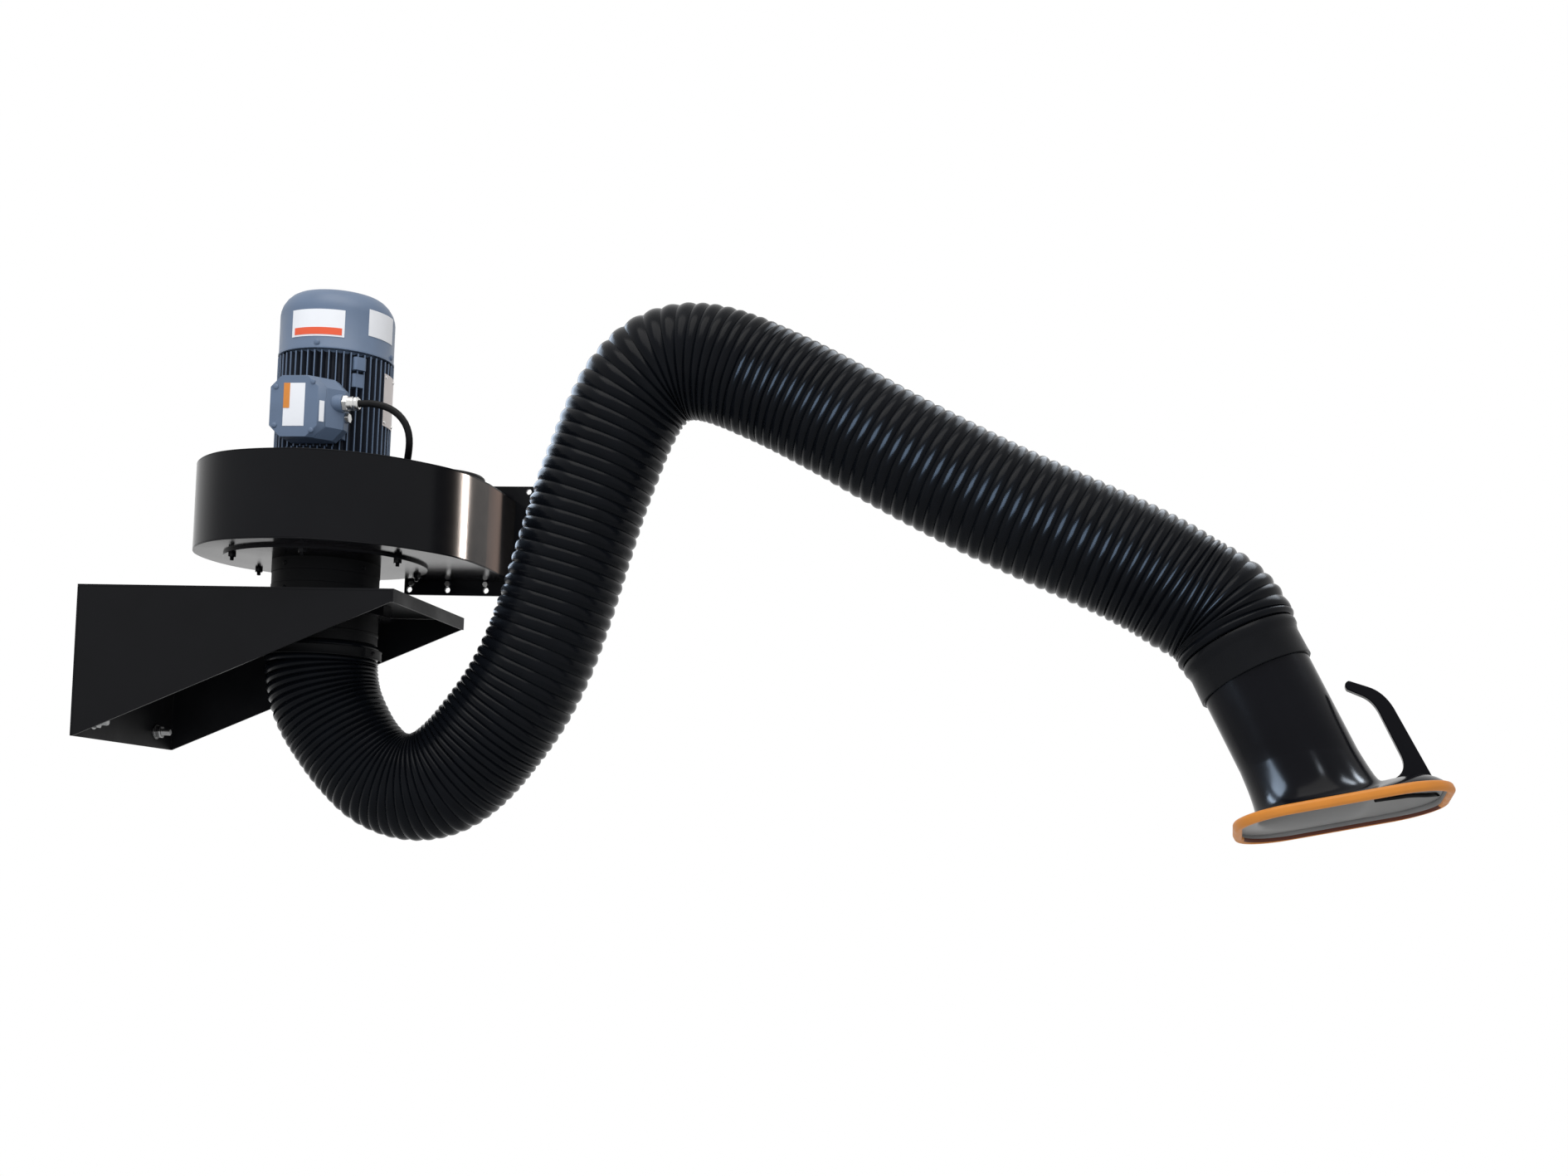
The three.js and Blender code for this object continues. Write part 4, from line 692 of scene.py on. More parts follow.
def make_cowl():
    sheet = 2.5
    outside = [
        (COWL_RADIUS, COWL_BOTTOM), (COWL_RADIUS, COWL_BOTTOM + 3), (COWL_RADIUS - 0.8, COWL_BOTTOM + 4),
        (COWL_RADIUS - 0.8, COWL_TOP - 36), (COWL_RADIUS - 1.6, COWL_TOP - 30), (COWL_RADIUS - 4, COWL_TOP - 23),
        (COWL_RADIUS - 9, COWL_TOP - 15), (COWL_RADIUS - 15, COWL_TOP - 9), (COWL_RADIUS - 20, COWL_TOP - 6),
        (COWL_RADIUS - 26, COWL_TOP - 4.2),
    ]
    grille = []
    radius = COWL_RADIUS - 30
    while radius > 16:
        level = COWL_TOP - 4 + 4 * (1 - radius / 56)
        grille.extend([(radius, level), (radius - 3.2, level), (radius - 3.6, level - 1.8), (radius - 6.4, level - 1.8)])
        radius -= 6.8
    crown = [(13.5, COWL_TOP - 0.6), (12, COWL_TOP - 1.4), (12, COWL_TOP - 5)]
    inside = [
        (COWL_RADIUS - 40, COWL_TOP - 9), (COWL_RADIUS - 22, COWL_TOP - 12), (COWL_RADIUS - 11, COWL_TOP - 19),
        (COWL_RADIUS - 5 - sheet, COWL_TOP - 27), (COWL_RADIUS - 1 - sheet, COWL_TOP - 38),
        (COWL_RADIUS - 1 - sheet, COWL_BOTTOM),
    ]
    axis = Matrix.Translation((AXIS_X, 0, 0))
    shape = Shape().add(*revolved([*outside, *grille, *crown, *inside], 128), 0, axis)
    for screw in range(4):
        angle = math.radians(-87 + 90 * screw)
        out = Vector((math.cos(angle), math.sin(angle), 0))
        place = Vector((AXIS_X, 0, COWL_BOTTOM + 8)) + out * (COWL_RADIUS - 1)
        dome = [(4.2, 0), (4.0, 1.4), (2.8, 2.4), (1.0, 2.7)]
        rings = [circle(size, height, 20) for size, height in dome]
        shape.add(*joined_rings(rings), 0, pointing(place, out))
    cowl = make_piece("motor_cowl", shape, "base", [MOTOR_PAINT], crease=40)
    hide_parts("fan_cowl")


def curved_label(shape, angles, levels, radius, tone):
    """Thin sheet lying on the cowl between two angles and two heights."""
    steps = 24
    outer = radius + 0.45
    rings = []
    for step in range(steps + 1):
        angle = math.radians(angles[0] + (angles[1] - angles[0]) * step / steps)
        c = math.cos(angle)
        s = math.sin(angle)
        rings.append([
            (AXIS_X + radius * c, radius * s, levels[0]), (AXIS_X + outer * c, outer * s, levels[0]),
            (AXIS_X + outer * c, outer * s, levels[1]), (AXIS_X + radius * c, radius * s, levels[1]),
        ])
    shape.add(*joined_rings(rings), tone)


def flat_label(shape, x_range, z_range, y, tone):
    outline = [(x_range[0], z_range[0]), (x_range[1], z_range[0]), (x_range[1], z_range[1]), (x_range[0], z_range[1])]
    vertices, faces = prism(outline, 0, 0.45)
    placed = [(x, y - depth, z) for x, z, depth in vertices]
    shape.add(placed, [tuple(reversed(face)) for face in faces], tone)


def make_labels():
    shape = Shape()
    skin = COWL_RADIUS - 0.8
    curved_label(shape, (-117, -60.5), (471.5, 510), skin, 0)
    curved_label(shape, (-113, -63), (474, 484), skin + 0.45, 1)
    curved_label(shape, (-35.5, 3), (481, 519), skin, 0)
    lid_face = BOX_BACK - BOX_DEPTH - 0.3 - LID_THICK
    flat_label(shape, (281, 312), (333, 393), lid_face, 0)
    flat_label(shape, (281, 290), (358, 393), lid_face - 0.45, 2)
    slant = Matrix.Translation((335.7, -121.6, 340)) @ Matrix.Rotation(math.radians(41.6), 4, "Z")
    strip = [(-3.5, -0.45), (3.5, -0.45), (3.5, 0.2), (-3.5, 0.2)]
    shape.add(*prism(strip, 0, 29), 0, slant)
    make_piece("motor_labels", shape, "base", [LABEL_WHITE, LABEL_RED, LABEL_ORANGE])

    plate_shape = Shape()
    curved_label(plate_shape, (-11, 17), (360, 435), FIN_OUTER, 0)
    for angle in (-8, 14):
        for level in (365, 430):
            out = Vector((math.cos(math.radians(angle)), math.sin(math.radians(angle)), 0))
            place = Vector((AXIS_X, 0, level)) + out * (FIN_OUTER + 0.4)
            rivet = [(2.4, 0), (2.2, 0.8), (1.2, 1.4)]
            rings = [circle(size, height, 16) for size, height in rivet]
            plate_shape.add(*joined_rings(rings), 1, pointing(place, out))
    make_piece("rating_plate", plate_shape, "base", [PLATE_METAL, STEEL])


LUGS = [(-44, (428, 446), 18), (-44, (404, 423), 14), (46, (428, 446), 18), (136, (428, 446), 18)]


def make_frame_casting():
    outline = []
    for fin in range(FIN_COUNT):
        for share, radius in [
            (0.0, FRAME_ROOT), (0.40, FRAME_ROOT), (0.50, FRAME_ROOT + 1.5), (0.57, FIN_OUTER - 1.2),
            (0.60, FIN_OUTER), (0.74, FIN_OUTER), (0.77, FIN_OUTER - 1.2), (0.90, FRAME_ROOT + 1.5),
        ]:
            angle = (fin + share) / FIN_COUNT * TURN
            outline.append((radius, angle))
    half = BOX_SIZE[0] / 2 + 1

    def ring(level, bore=None):
        points = []
        for radius, angle in outline:
            size = bore or radius
            x = AXIS_X + size * math.cos(angle)
            y = size * math.sin(angle)
            near_box = bore is None and abs(x - BOX_CENTRE[0]) < half + 4 and y < 0
            points.append((x, max(y, BOX_BACK + 12) if near_box and level_in_box(level) else y, level))
        return points

    def level_in_box(level):
        return BOX_CENTRE[1] - BOX_SIZE[1] / 2 - 2 < level < BOX_CENTRE[1] + BOX_SIZE[1] / 2 + 2

    low_box = BOX_CENTRE[1] - BOX_SIZE[1] / 2 - 2
    high_box = BOX_CENTRE[1] + BOX_SIZE[1] / 2 + 2
    levels = [FRAME_BOTTOM, low_box, low_box + 0.1, high_box - 0.1, high_box, FRAME_TOP]
    rings = [ring(level) for level in levels]
    rings.extend([ring(FRAME_TOP, 68.4), ring(FRAME_BOTTOM, 68.4)])
    shape = Shape().add(*joined_rings(rings, loop=True))
    # The fin tips keep the motor paint; the fin flanks and the roots between fins get painted shade.
    for number in range((len(levels) - 1) * len(outline)):
        shape.tones[number] = 0 if FIN_TIP[0] <= number % len(outline) % FIN_POINTS <= FIN_TIP[1] else 1
    saddle_x = BOX_SIZE[0] / 2 - 10
    saddle_z = BOX_SIZE[1] / 2 - 8
    saddle = [
        (BOX_CENTRE[0] - saddle_x, BOX_CENTRE[1] - saddle_z), (BOX_CENTRE[0] + saddle_x, BOX_CENTRE[1] - saddle_z),
        (BOX_CENTRE[0] + saddle_x, BOX_CENTRE[1] + saddle_z), (BOX_CENTRE[0] - saddle_x, BOX_CENTRE[1] + saddle_z),
    ]
    vertices, faces = prism(saddle, 0, 17)
    shape.add([(x, BOX_BACK + 0.3 + depth, z) for x, z, depth in vertices], faces)
    for angle, levels, reach in LUGS:
        lug_outline = [(0, -9), (reach - 3, -9), (reach, -6), (reach, 6), (reach - 3, 9), (0, 9)]
        turn = Matrix.Translation((AXIS_X, 0, 0)) @ Matrix.Rotation(math.radians(angle), 4, "Z")
        start = Matrix.Translation((FRAME_ROOT - 1, 0, 0))
        shape.add(*prism(lug_outline, *levels), 0, turn @ start)
    casting = make_piece("motor_casting", shape, "base", [MOTOR_PAINT, PAINTED_FIN_SHADE], crease=30)
    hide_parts("motor_frame")


def make_motor_foot():
    low = SCROLL_TOP + 0.3
    profile = [
        (20.9, low), (FLANGE_RADIUS - 1, low), (FLANGE_RADIUS, low + 1), (FLANGE_RADIUS, low + 9.5),
        (FLANGE_RADIUS - 1.2, low + 11), (80, low + 11), (78, low + 11.6), (76, low + 14), (74, FRAME_BOTTOM - 0.4),
        (30, FRAME_BOTTOM - 0.4), (30, low + 8), (20.9, low + 8),
    ]
    shape = Shape().add(*revolved(profile, 128), 0, Matrix.Translation((AXIS_X, 0, 0)))
    foot = make_piece("motor_foot", shape, "base", [MOTOR_PAINT])
    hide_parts("motor_flange")
    bolt_shape = Shape()
    names = []
    for bolt in range(4):
        angle = math.radians(-112 + 90 * bolt)
        x = AXIS_X + (FLANGE_RADIUS - 9) * math.cos(angle)
        y = (FLANGE_RADIUS - 9) * math.sin(angle)
        hex_head(bolt_shape, (x, y, low + 11.2), (0, 0, 1), 6.8, 7.4)
        names.append(f"motor_bolt_{bolt + 1}")
    bolts = make_piece("foot_bolts", bolt_shape, "base", [STEEL], bevel=0.3)
    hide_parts(*names)


def cut_corners(size, corner):
    x = size[0] / 2
    z = size[1] / 2
    return [
        (-x + corner, -z), (x - corner, -z), (x, -z + corner), (x, z - corner),
        (x - corner, z), (-x + corner, z), (-x, z - corner), (-x, -z + corner),
    ]


def upright(outlines):
    """Skin over outlines in X and Z about the box's centre, each at its own depth."""
    rings = []
    for outline, y in outlines:
        rings.append([(BOX_CENTRE[0] + x, y, BOX_CENTRE[1] + z) for x, z in outline])
    return joined_rings(rings)


def drawn_in(outline, right):
    """The box's outline with its right side moved in to a new place."""
    half = BOX_SIZE[0] / 2
    return [(x - (half - right) if x > 0 else x, z) for x, z in outline]


def make_terminal_box():
    walls = cut_corners(BOX_SIZE, 16)
    front = BOX_BACK - BOX_DEPTH
    lid_front = front - 0.3 - LID_THICK
    half = BOX_SIZE[0] / 2
    tub_shape = Shape().add(*upright([(walls, BOX_BACK), (walls, BOX_BACK - 15), (drawn_in(walls, half - 19), front)]))
    seat = [(13, 0), (13, 13), (12, 14)]
    rings = [circle(radius, height, 40) for radius, height in seat]
    tub_shape.add(*joined_rings(rings), 0, pointing((345, GLAND_PLACE[1], GLAND_PLACE[2]), (1, 0, 0)))
    tub = make_piece("terminal_tub", tub_shape, "base", [MOTOR_PAINT], bevel=1.6)
    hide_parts("terminal_box")
    lid_shape = Shape()
    lid_shape.add(*upright([(drawn_in(walls, half - 19), front - 0.3), (drawn_in(walls, half - 28), lid_front)]))
    for x, z in ((-41, -27), (-41, 27), (13, -34), (13, 34)):
        place = (BOX_CENTRE[0] + x, lid_front + 0.2, BOX_CENTRE[1] + z)
        dome = [(4, 0), (3.8, 1.2), (2.6, 2.0), (1, 2.3)]
        rings = [circle(size, height, 20) for size, height in dome]
        lid_shape.add(*joined_rings(rings), 0, pointing(place, (0, -1, 0)))
    lid = make_piece("terminal_cover", lid_shape, "base", [MOTOR_PAINT], bevel=1.4)
    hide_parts("terminal_lid")

    gland_shape = Shape()
    hex_head(gland_shape, GLAND_PLACE, (1, 0, 0), 11.5, 7)
    dome = [(5.4, 6), (10, 6), (10, 13), (9.2, 14), (9.2, 16), (9.8, 17), (9.4, 20), (7.4, 22), (5.4, 22)]
    gland_shape.add(*revolved(dome, 40), 0, pointing(GLAND_PLACE, (1, 0, 0)))
    gland = make_piece("lead_gland", gland_shape, "base", [STEEL])
    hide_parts("cable_gland")
    spare = Shape()
    hex_head(spare, (358.6, -90, 352), (1, 0, 0), 7.5, 6)
    make_piece("spare_entry_plug", spare, "base", [STEEL], bevel=0.5)


make_cowl()
make_labels()
make_frame_casting()
make_motor_foot()
make_terminal_box()

# Swivel collar and hose clamp


def make_swivel():
    axis = Matrix.Translation((AXIS_X, 0, 0))
    collar = [
        (62, 8), (65, 8), (65, 46), (76.2, 46), (77, 46.8), (77, 58), (77.8, 59), (77.8, 62), (77, 63), (77, 89.5),
        (90.8, 89.5), (90.8, 94), (77, 94), (77, 100.5), (74, 100.5), (74, 50), (62, 50),
    ]
    shape = Shape().add(*revolved(collar, 128), 0, axis)
    bar = [(AXIS_X - 75, -11), (AXIS_X + 75, -11), (AXIS_X + 75, 11), (AXIS_X - 75, 11)]
    shape.add(*prism(bar, 58, 70))
    shape.add(*joined_rings([circle(21, 42, 40, (AXIS_X, 0)), circle(21, 60, 40, (AXIS_X, 0))]))
    piece = make_piece("swivel_sleeve", shape, "swivel", [PIPE_PAINT])
    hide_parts("swivel_collar")

    clamp_shape = Shape()
    band = [(82.6, 24), (83.6, 24), (84.2, 25), (83.6, 26), (83.6, 36), (84.2, 37), (83.6, 38), (82.6, 38)]
    clamp_shape.add(*revolved(band, 128), 0, axis)
    out = Vector((math.cos(math.radians(-20)), math.sin(math.radians(-20)), 0))
    side = Vector((-out.y, out.x, 0))
    centre = Vector((AXIS_X, 0, 31)) + out * 85.4
    housing = [(-7, -6), (7, -6), (7, 6), (-7, 6)]
    matrix = pointing(centre - out * 2.6, out)
    clamp_shape.add(*prism(housing, 0, 5), 0, matrix)
    hex_head(clamp_shape, tuple(centre + side * 7), tuple(side), 4, 5)
    clamp = make_piece("hose_clamp", clamp_shape, "swivel", [PIPE_PAINT], bevel=0.4)
    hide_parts("neck_clamp")


make_swivel()

# Suction hose

HOSE_PITCH = [
    (0, 10), (400, 10.5), (540, 17), (960, 17), (1050, 13), (1220, 13), (1310, 16.5), (1640, 16.5), (1740, 13), (1900, 11),
]
HOSE_CREST = 81
HOSE_VALLEY = 77.4
HOSE_BORE = 74.6
HOSE_SIDES = 56
HANG_PLACE = 190
HANG_REACH = 100
HANG_SHARE = 0.105
FULLER_SHARE = 0.02
RIB_STEPS = 8
NECK_ROUTE = [
    (AXIS_X, 45.6), (AXIS_X, 6), (313, -38), (336, -79), (365, -116), (401, -145), (446, -156), (489, -146), (526, -118),
]
ARM_ROUTE = [
    (566, -69), (597, -22), (624, 35), (647, 103), (671, 189), (691, 260), (709, 314), (728, 365),
    (752, 411), (782, 441), (815, 453), (854, 452), (896, 440), (932, 425), (968, 409), (1039, 373),
    (1109, 335), (1179, 299), (1248, 265), (1317, 234), (1384, 205), (1442, 179), (1485, 157), (1520, 136),
]
HOOD_TILT = math.radians(27)
HOOD_ROLL = math.radians(-9)
NECK_BELOW_WRIST = 50
PLAIN_AXIS = Vector((math.sin(HOOD_TILT), 0, -math.cos(HOOD_TILT)))
WRIST = Vector((1588, 0, 70)) - PLAIN_AXIS * NECK_BELOW_WRIST
HOOD_MATRIX = (
    Matrix.Translation(WRIST) @ Matrix.Rotation(-HOOD_TILT, 4, "Y") @ Matrix.Rotation(HOOD_ROLL, 4, "X")
)
HOOD_AXIS = HOOD_MATRIX.to_3x3() @ Vector((0, 0, -1))
HOSE_END = WRIST + HOOD_AXIS * (NECK_BELOW_WRIST - 0.9)
HOSE_LAST = [(1557, -1.5, 114.5), tuple(HOSE_END - HOOD_AXIS * 24), tuple(HOSE_END - HOOD_AXIS * 10), tuple(HOSE_END)]

hose_line = spline([(x, 0, z) for x, z in [*NECK_ROUTE, *ARM_ROUTE]] + HOSE_LAST, 60)
hose_lengths = along(hose_line)
hose_length = hose_lengths[-1]


def rib_places():
    """Places of the valleys between ribs, as distances along the hose."""
    places = [0.0]
    while places[-1] < hose_length:
        places.append(places[-1] + np.interp(places[-1], *zip(*HOSE_PITCH)))
    return [place * hose_length / places[-1] for place in places]


RIBS = rib_places()


def hose_swell(where):
    """The hose is drawn in a little where it hangs in the bend and is fuller towards the hood."""
    hang = math.exp(-(((where - HANG_PLACE) / HANG_REACH) ** 2))
    return 1 - HANG_SHARE * hang + FULLER_SHARE * smoothstep(where, 1250, 1500)


def hose_heading(where):
    """Direction of the hose's centre line, at a distance along it."""
    reach = 2.0
    before = at_length(hose_line, hose_lengths, max(0, where - reach))
    after = at_length(hose_line, hose_lengths, min(hose_length, where + reach))
    return (after - before) / np.linalg.norm(after - before)


def hose_ring(where, radius, sides):
    """Ring of points round the hose, at a distance along its centre line."""
    centre = at_length(hose_line, hose_lengths, where)
    ahead = hose_heading(where)
    side = np.array([0.0, 1.0, 0.0])
    side = side - ahead * side.dot(ahead)
    side = side / np.linalg.norm(side)
    across = np.cross(side, ahead)
    angles = np.arange(sides) / sides * TURN
    return centre + radius * hose_swell(where) * (np.outer(np.cos(angles), across) + np.outer(np.sin(angles), side))


def rib_near(x, z):
    places = [at_length(hose_line, hose_lengths, where) for where in RIBS]
    gaps = [math.hypot(place[0] - x, place[2] - z) for place in places]
    return gaps.index(min(gaps))


def rib_radius(share):
    """Rounded rib with a narrow valley at each end."""
    return HOSE_VALLEY + (HOSE_CREST - HOSE_VALLEY) * math.sin(math.pi * share) ** 0.8


def hose_stretch(name, first_rib, last_rib):
    rings = []
    for rib in range(first_rib, last_rib):
        for step in range(RIB_STEPS):
            share = step / RIB_STEPS
            where = RIBS[rib] + share * (RIBS[rib + 1] - RIBS[rib])
            rings.append(hose_ring(where, rib_radius(share), HOSE_SIDES))
    rings.append(hose_ring(RIBS[last_rib], HOSE_VALLEY, HOSE_SIDES))
    for rib in range(last_rib, first_rib - 1, -1):
        rings.append(hose_ring(RIBS[rib], HOSE_BORE, HOSE_SIDES))
    shape = Shape().add(*joined_rings([ring.tolist() for ring in rings], loop=True))
    return make_piece(name, shape, None, [HOSE_PLASTIC], crease=45)


def make_hose():
    shoulder_low = rib_near(528, -117)
    shoulder_high = rib_near(628, 50)
    elbow_low = rib_near(700, 290)
    elbow_middle = rib_near(905, 437)
    elbow_high = rib_near(962, 412)
    wrist_low = rib_near(1443, 181)
    wrist_middle = rib_near(WRIST.x, WRIST.z)
    neck = hose_stretch("hose_u_bend", 0, shoulder_low)
    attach(neck, "swivel")
    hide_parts("hose_neck")
    shoulder = hose_stretch("hose_shoulder_bend", shoulder_low, shoulder_high)
    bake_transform(shoulder)
    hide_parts("hose_shoulder")
    lower = hose_stretch("hose_lower_arm", shoulder_high, elbow_low)
    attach(lower, "lower")
    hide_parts("hose_lower")
    elbow = hose_stretch("hose_elbow_bend", elbow_low, elbow_middle)
    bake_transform(elbow)
    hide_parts("hose_elbow")
    elbow_end = hose_stretch("hose_elbow_end", elbow_middle, elbow_high)
    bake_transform(elbow_end)
    upper = hose_stretch("hose_upper_arm", elbow_high, wrist_low)
    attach(upper, "upper")
    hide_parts("hose_upper")
    tilt = hose_stretch("hose_wrist_bend", wrist_low, wrist_middle)
    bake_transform(tilt)
    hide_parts("hose_wrist")
    roll = hose_stretch("hose_hood_end", wrist_middle, len(RIBS) - 1)
    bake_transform(roll)


make_hose()

# Hood

NECK_RADIUS = 73
HOOD_WALL = 3
MOUTH_LENGTH = 259.5
MOUTH_WIDTH = 204
MOUTH_CORNER = 68
MOUTH_TILT = math.radians(14.78)
MOUTH_CENTRE = 18
MOUTH_DEPTH = 258.2
NECK_START = 4
FLARE_HEIGHT = 75
FLARE_SOFT = 9.5
FLARE_SHARP = 4.3
SHOULDER_HEIGHT = 27
LIP_DEPTH = 7.5
HOOD_SIDES = 288
HOOD_SHARES = [0, 0.01, 0.02, 0.035, 0.05, 0.07, 0.095, 0.125, 0.16, 0.2, 0.25, 0.31, 0.38, 0.46, 0.55, 0.64, 0.73,
               0.81, 0.88, 0.94, 0.975, 1]


def mouth_point(angle, offset):
    """Point on the rounded rectangle of the mouth and its outward direction."""
    quarter_turn = math.pi / 2
    corner_x = MOUTH_LENGTH / 2 - MOUTH_CORNER
    corner_y = MOUTH_WIDTH / 2 - MOUTH_CORNER
    arc = MOUTH_CORNER * quarter_turn
    number = int(angle // quarter_turn)
    share = angle / quarter_turn - number
    gone = (corner_x + corner_y + arc) * (share if number % 2 == 0 else 1 - share)
    swing = min(quarter_turn, max(0, (gone - corner_y) / MOUTH_CORNER))
    side_x = math.copysign(1, math.cos(angle))
    side_y = math.copysign(1, math.sin(angle))
    out = (side_x * math.cos(swing), side_y * math.sin(swing))
    x = corner_x - max(0, gone - corner_y - arc)
    y = min(gone, corner_y)
    reach = MOUTH_CORNER + offset
    return (MOUTH_CENTRE + side_x * x + reach * out[0], side_y * y + reach * out[1]), out


def mouth_depth(x):
    return MOUTH_DEPTH + (x - MOUTH_CENTRE) * math.tan(MOUTH_TILT)


def flare_height(angle, share, distance):
    """Height of the shell over the mouth plane, with a flat shoulder under the handle."""
    softness = FLARE_SHARP + (FLARE_SOFT - FLARE_SHARP) * math.sin(angle) ** 2
    end = FLARE_HEIGHT * math.exp(-distance / softness)
    flare = FLARE_HEIGHT * math.exp(-share * distance / softness) - share * end
    shoulder = SHOULDER_HEIGHT * max(0, math.cos(angle)) ** 2 * (1 - share ** 6)
    return (flare ** 4 + shoulder ** 4) ** 0.25


def hood_point(angle, share, offset, drop):
    neck = ((NECK_RADIUS + offset) * math.cos(angle), (NECK_RADIUS + offset) * math.sin(angle))
    mouth, _ = mouth_point(angle, offset)
    distance = math.dist(neck, mouth)
    x = neck[0] + share * (mouth[0] - neck[0])
    y = neck[1] + share * (mouth[1] - neck[1])
    height = max(0, flare_height(angle, share, distance) - drop)
    return x, y, height - NECK_BELOW_WRIST - mouth_depth(x)


def hood_angles():
    return [(side + 0.5) / HOOD_SIDES * TURN for side in reversed(range(HOOD_SIDES))]


def hood_skin(offset, drop):
    rings = [[hood_point(angle, share, offset, drop) for angle in hood_angles()] for share in HOOD_SHARES]
    top = -NECK_BELOW_WRIST - NECK_START
    neck = []
    for part in (0, 0.25, 0.5, 0.75, 0.9):
        neck.append([(x, y, top + part * (z - top)) for x, y, z in rings[0]])
    return [*neck, *rings]


def trim_profile():
    """Rounded section of the rubber trim: outward reach and depth below the shell's edge."""
    half_width = 5.4
    straight = 1.6
    points = []
    for step in range(24):
        angle = step / 24 * TURN
        shift = straight if math.sin(angle) > 0 else -straight
        points.append((half_width * math.cos(angle) - HOOD_WALL / 2, 4.6 + half_width * math.sin(angle) + shift))
    return points


def make_hood():
    outside = hood_skin(0, 0)
    inside = hood_skin(-HOOD_WALL, HOOD_WALL)
    vertices, faces = joined_rings([*outside, *reversed(inside)], loop=True)
    shape = Shape().add(vertices, faces, 0, HOOD_MATRIX)
    outer_faces = len(outside) * HOOD_SIDES
    shape.tones = [0 if number < outer_faces else 1 for number in range(len(faces))]
    shell = make_piece("hood_body", shape, "hood", [HOOD_PLASTIC, HOOD_LINER], crease=50)
    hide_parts("hood_shell")

    profile = trim_profile()
    rings = []
    tones = []
    for angle in hood_angles():
        (x, y), out = mouth_point(angle, 0)
        edge = mouth_depth(x)
        rings.append([(x + reach * out[0], y + reach * out[1], -NECK_BELOW_WRIST - edge - down) for reach, down in profile])
        for reach, down in profile:
            inside = reach < -3
            # Inner faces near the shell's edge take the liner colour; inner faces lower down on the far side get
            # painted shade.
            tones.append(2 if inside and down < LIP_DEPTH else 1 if inside and out[1] > 0.3 else 0)
    rim_shape = Shape().add(*joined_rings(rings, loop=True), 0, HOOD_MATRIX)
    rim_shape.tones = tones
    rim = make_piece("hood_trim", rim_shape, "hood", [ORANGE_RUBBER, PAINTED_SHADE_RUBBER, HOOD_LINER])
    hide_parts("hood_rim")

    high = -NECK_BELOW_WRIST
    cuff = [
        (73.4, high - 56), (76.2, high - 56), (77, high - 55), (76.6, high - 46), (76.2, high - 20), (77.4, high - 14),
        (79.5, high - 10), (79.8, high - 5), (78.2, high - 1), (75.6, high), (73.4, high - 0.2),
    ]
    cuff_shape = Shape().add(*revolved(cuff, 128), 0, HOOD_MATRIX)
    sleeve = make_piece("hood_sleeve", cuff_shape, "hood", [CUFF_RUBBER])
    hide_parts("hood_cuff")


SHADOW_LINE_ROUTE = [(70, 45, -309), (79, 49, -311), (95, 55, -315), (115, 57, -321), (133, 47, -331), (141, 26, -338)]


def make_shadow_line():
    """Dark bead inside the mouth, on the side of the handle, that paints a shadow line on the liner."""
    line = spline(SHADOW_LINE_ROUTE, 10)
    rings = []
    for at, place in enumerate(line):
        ahead = line[min(at + 1, len(line) - 1)] - line[max(at - 1, 0)]
        matrix = pointing(place, ahead)
        rings.append([tuple(matrix @ Vector(point)) for point in circle(3.0, 0, 16)])
    shape = Shape().add(*joined_rings(rings), 0, HOOD_MATRIX)
    make_piece("hood_shadow_line", shape, "hood", [BLACK_RUBBER])


make_shadow_line()

HANDLE_ROUTE = [
    ("bow", (116, -251), (117.5, -228)), ("line", (118.5, -165)), ("bow", (118.5, -146), (109, -135)),
    ("line", (96, -119.5)), ("bow", (94, -110), (103, -109.5)), ("line", (121, -127.5)),
    ("bow", (136, -142), (137.5, -168)), ("line", (139.5, -262)),
]


def handle_outline():
    points = [(94, -251)]
    for kind, *stops in HANDLE_ROUTE:
        start = points[-1]
        if kind == "line":
            points.append(stops[0])
            continue
        middle, end = stops
        for step in range(1, 9):
            t = step / 8
            points.append(tuple(
                (1 - t) ** 2 * a + 2 * t * (1 - t) * b + t ** 2 * c for a, b, c in zip(start, middle, end)
            ))
    edge = mouth_point(0, 0)[0][0]
    for x in (139.5, 132, 124, 116, 108, 100):
        foot = hood_point(0, (x - NECK_RADIUS) / (edge - NECK_RADIUS), 0, 0)
        points.append((x, foot[2] + NECK_BELOW_WRIST - 1.2))
    return points


def make_handle():
    vertices, faces = prism(handle_outline(), -6.5, 6.5)
    placed = [(x, -thick, z - NECK_BELOW_WRIST) for x, z, thick in vertices]
    shape = Shape().add(placed, faces, 0, HOOD_MATRIX)
    handle = make_piece("hood_grip", shape, "hood", [HOOD_PLASTIC], bevel=2.2)
    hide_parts("hood_handle")


make_hood()
make_handle()

# Windows and ceiling tubes that show only in the gloss of some pieces


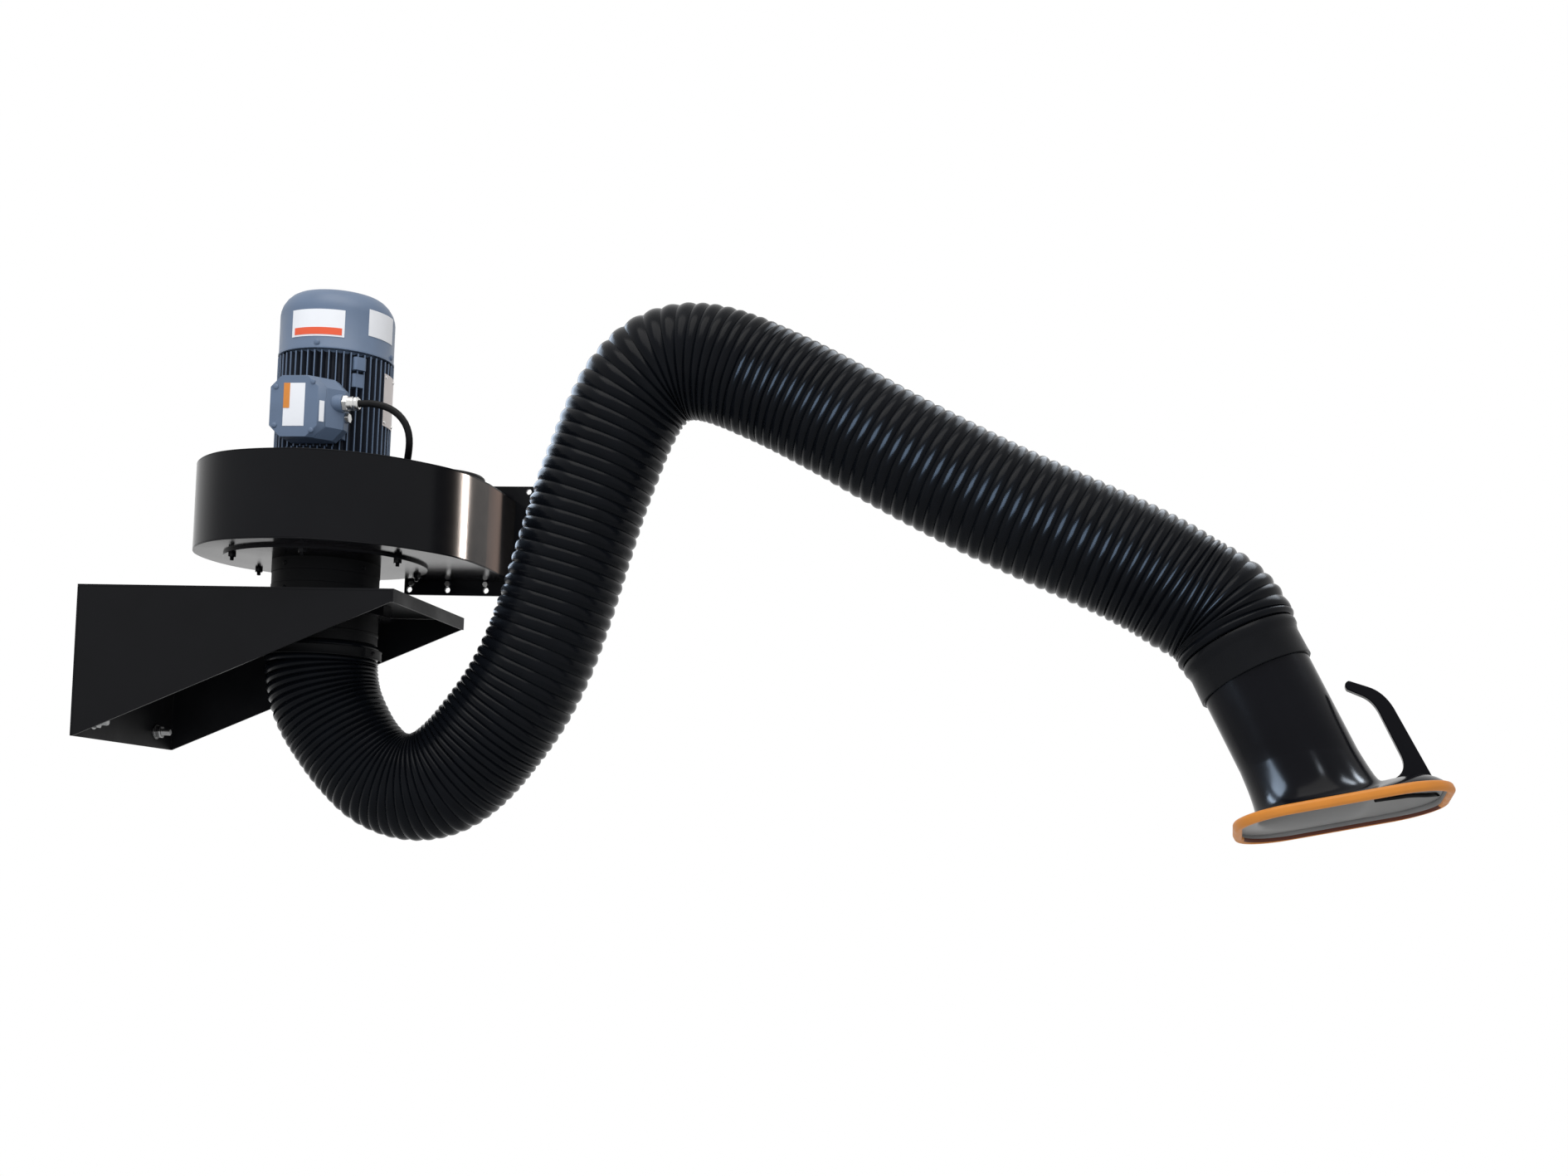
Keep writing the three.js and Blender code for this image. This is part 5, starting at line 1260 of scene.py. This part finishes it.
def keep_to(lamp, *names):
    """A lamp that only some pieces mirror."""
    group = bpy.data.collections.new(f"{lamp.name}_group")
    for name in names:
        group.objects.link(bpy.data.objects[name])
    lamp.light_linking.receiver_collection = group
    lamp.light_linking.blocker_collection = group


def make_glints():
    fan_side = (0.505, -0.03, 0.23)
    flare = (1.58, -0.05, -0.18)
    arm = (1.1, 0.0, 0.33)
    bend = (0.66, 0.0, 0.2)
    warm = (1.0, 0.86, 0.77)
    tan = (1.0, 0.50, 0.30)
    blue = (0.62, 0.78, 1.0)
    deep_blue = (0.50, 0.70, 1.0)
    lamp = make_lamp("warm_window", (2.87, 1.96, 0.70), fan_side, (0.5, 1.2), 320, warm, lights=False)
    keep_to(lamp, "casing_wrap")
    lamp = make_lamp("far_wall", (1.44, 2.91, 0.75), fan_side, (0.8, 1.2), 4, tan, lights=False)
    keep_to(lamp, "casing_wrap")
    lamp = make_lamp("low_window", (-0.94, -0.28, 0.38), flare, (2.3, 0.9), 380, blue, lights=False)
    keep_to(lamp, "hood_body")
    lamp = make_lamp("outer_tube", (3.00, 0.50, 1.62), flare, (0.6, 0.22), 26, COOL, lights=False)
    keep_to(lamp, "hood_body")
    lamp = make_lamp("inner_tube", (2.615, -0.165, 1.87), flare, (0.9, 0.22), 36, COOL, lights=False)
    keep_to(lamp, "hood_body")
    lamp = make_lamp("high_lamp", (1.99, -1.57, 1.50), flare, (0.16, 0.16), 5, COOL, lights=False)
    keep_to(lamp, "hood_body")
    lamp = make_lamp("tall_window", (1.3, -2.7, 0.2), arm, (2.2, 1.6), 380, deep_blue, lights=False)
    keep_to(lamp, "hose_elbow_end", "hose_upper_arm", "hose_wrist_bend")
    lamp = make_lamp("far_window", (-0.77, 1.21, 0.90), bend, (1.2, 1.2), 18, blue, lights=False)
    keep_to(lamp, "hose_lower_arm", "hose_elbow_bend")
    lamp = make_lamp("back_skylight", (2.08, 1.26, 1.62), arm, (1.6, 0.8), 16, COOL, lights=False)
    keep_to(lamp, "hose_elbow_end", "hose_upper_arm", "hose_wrist_bend", "hose_hood_end")


make_glints()
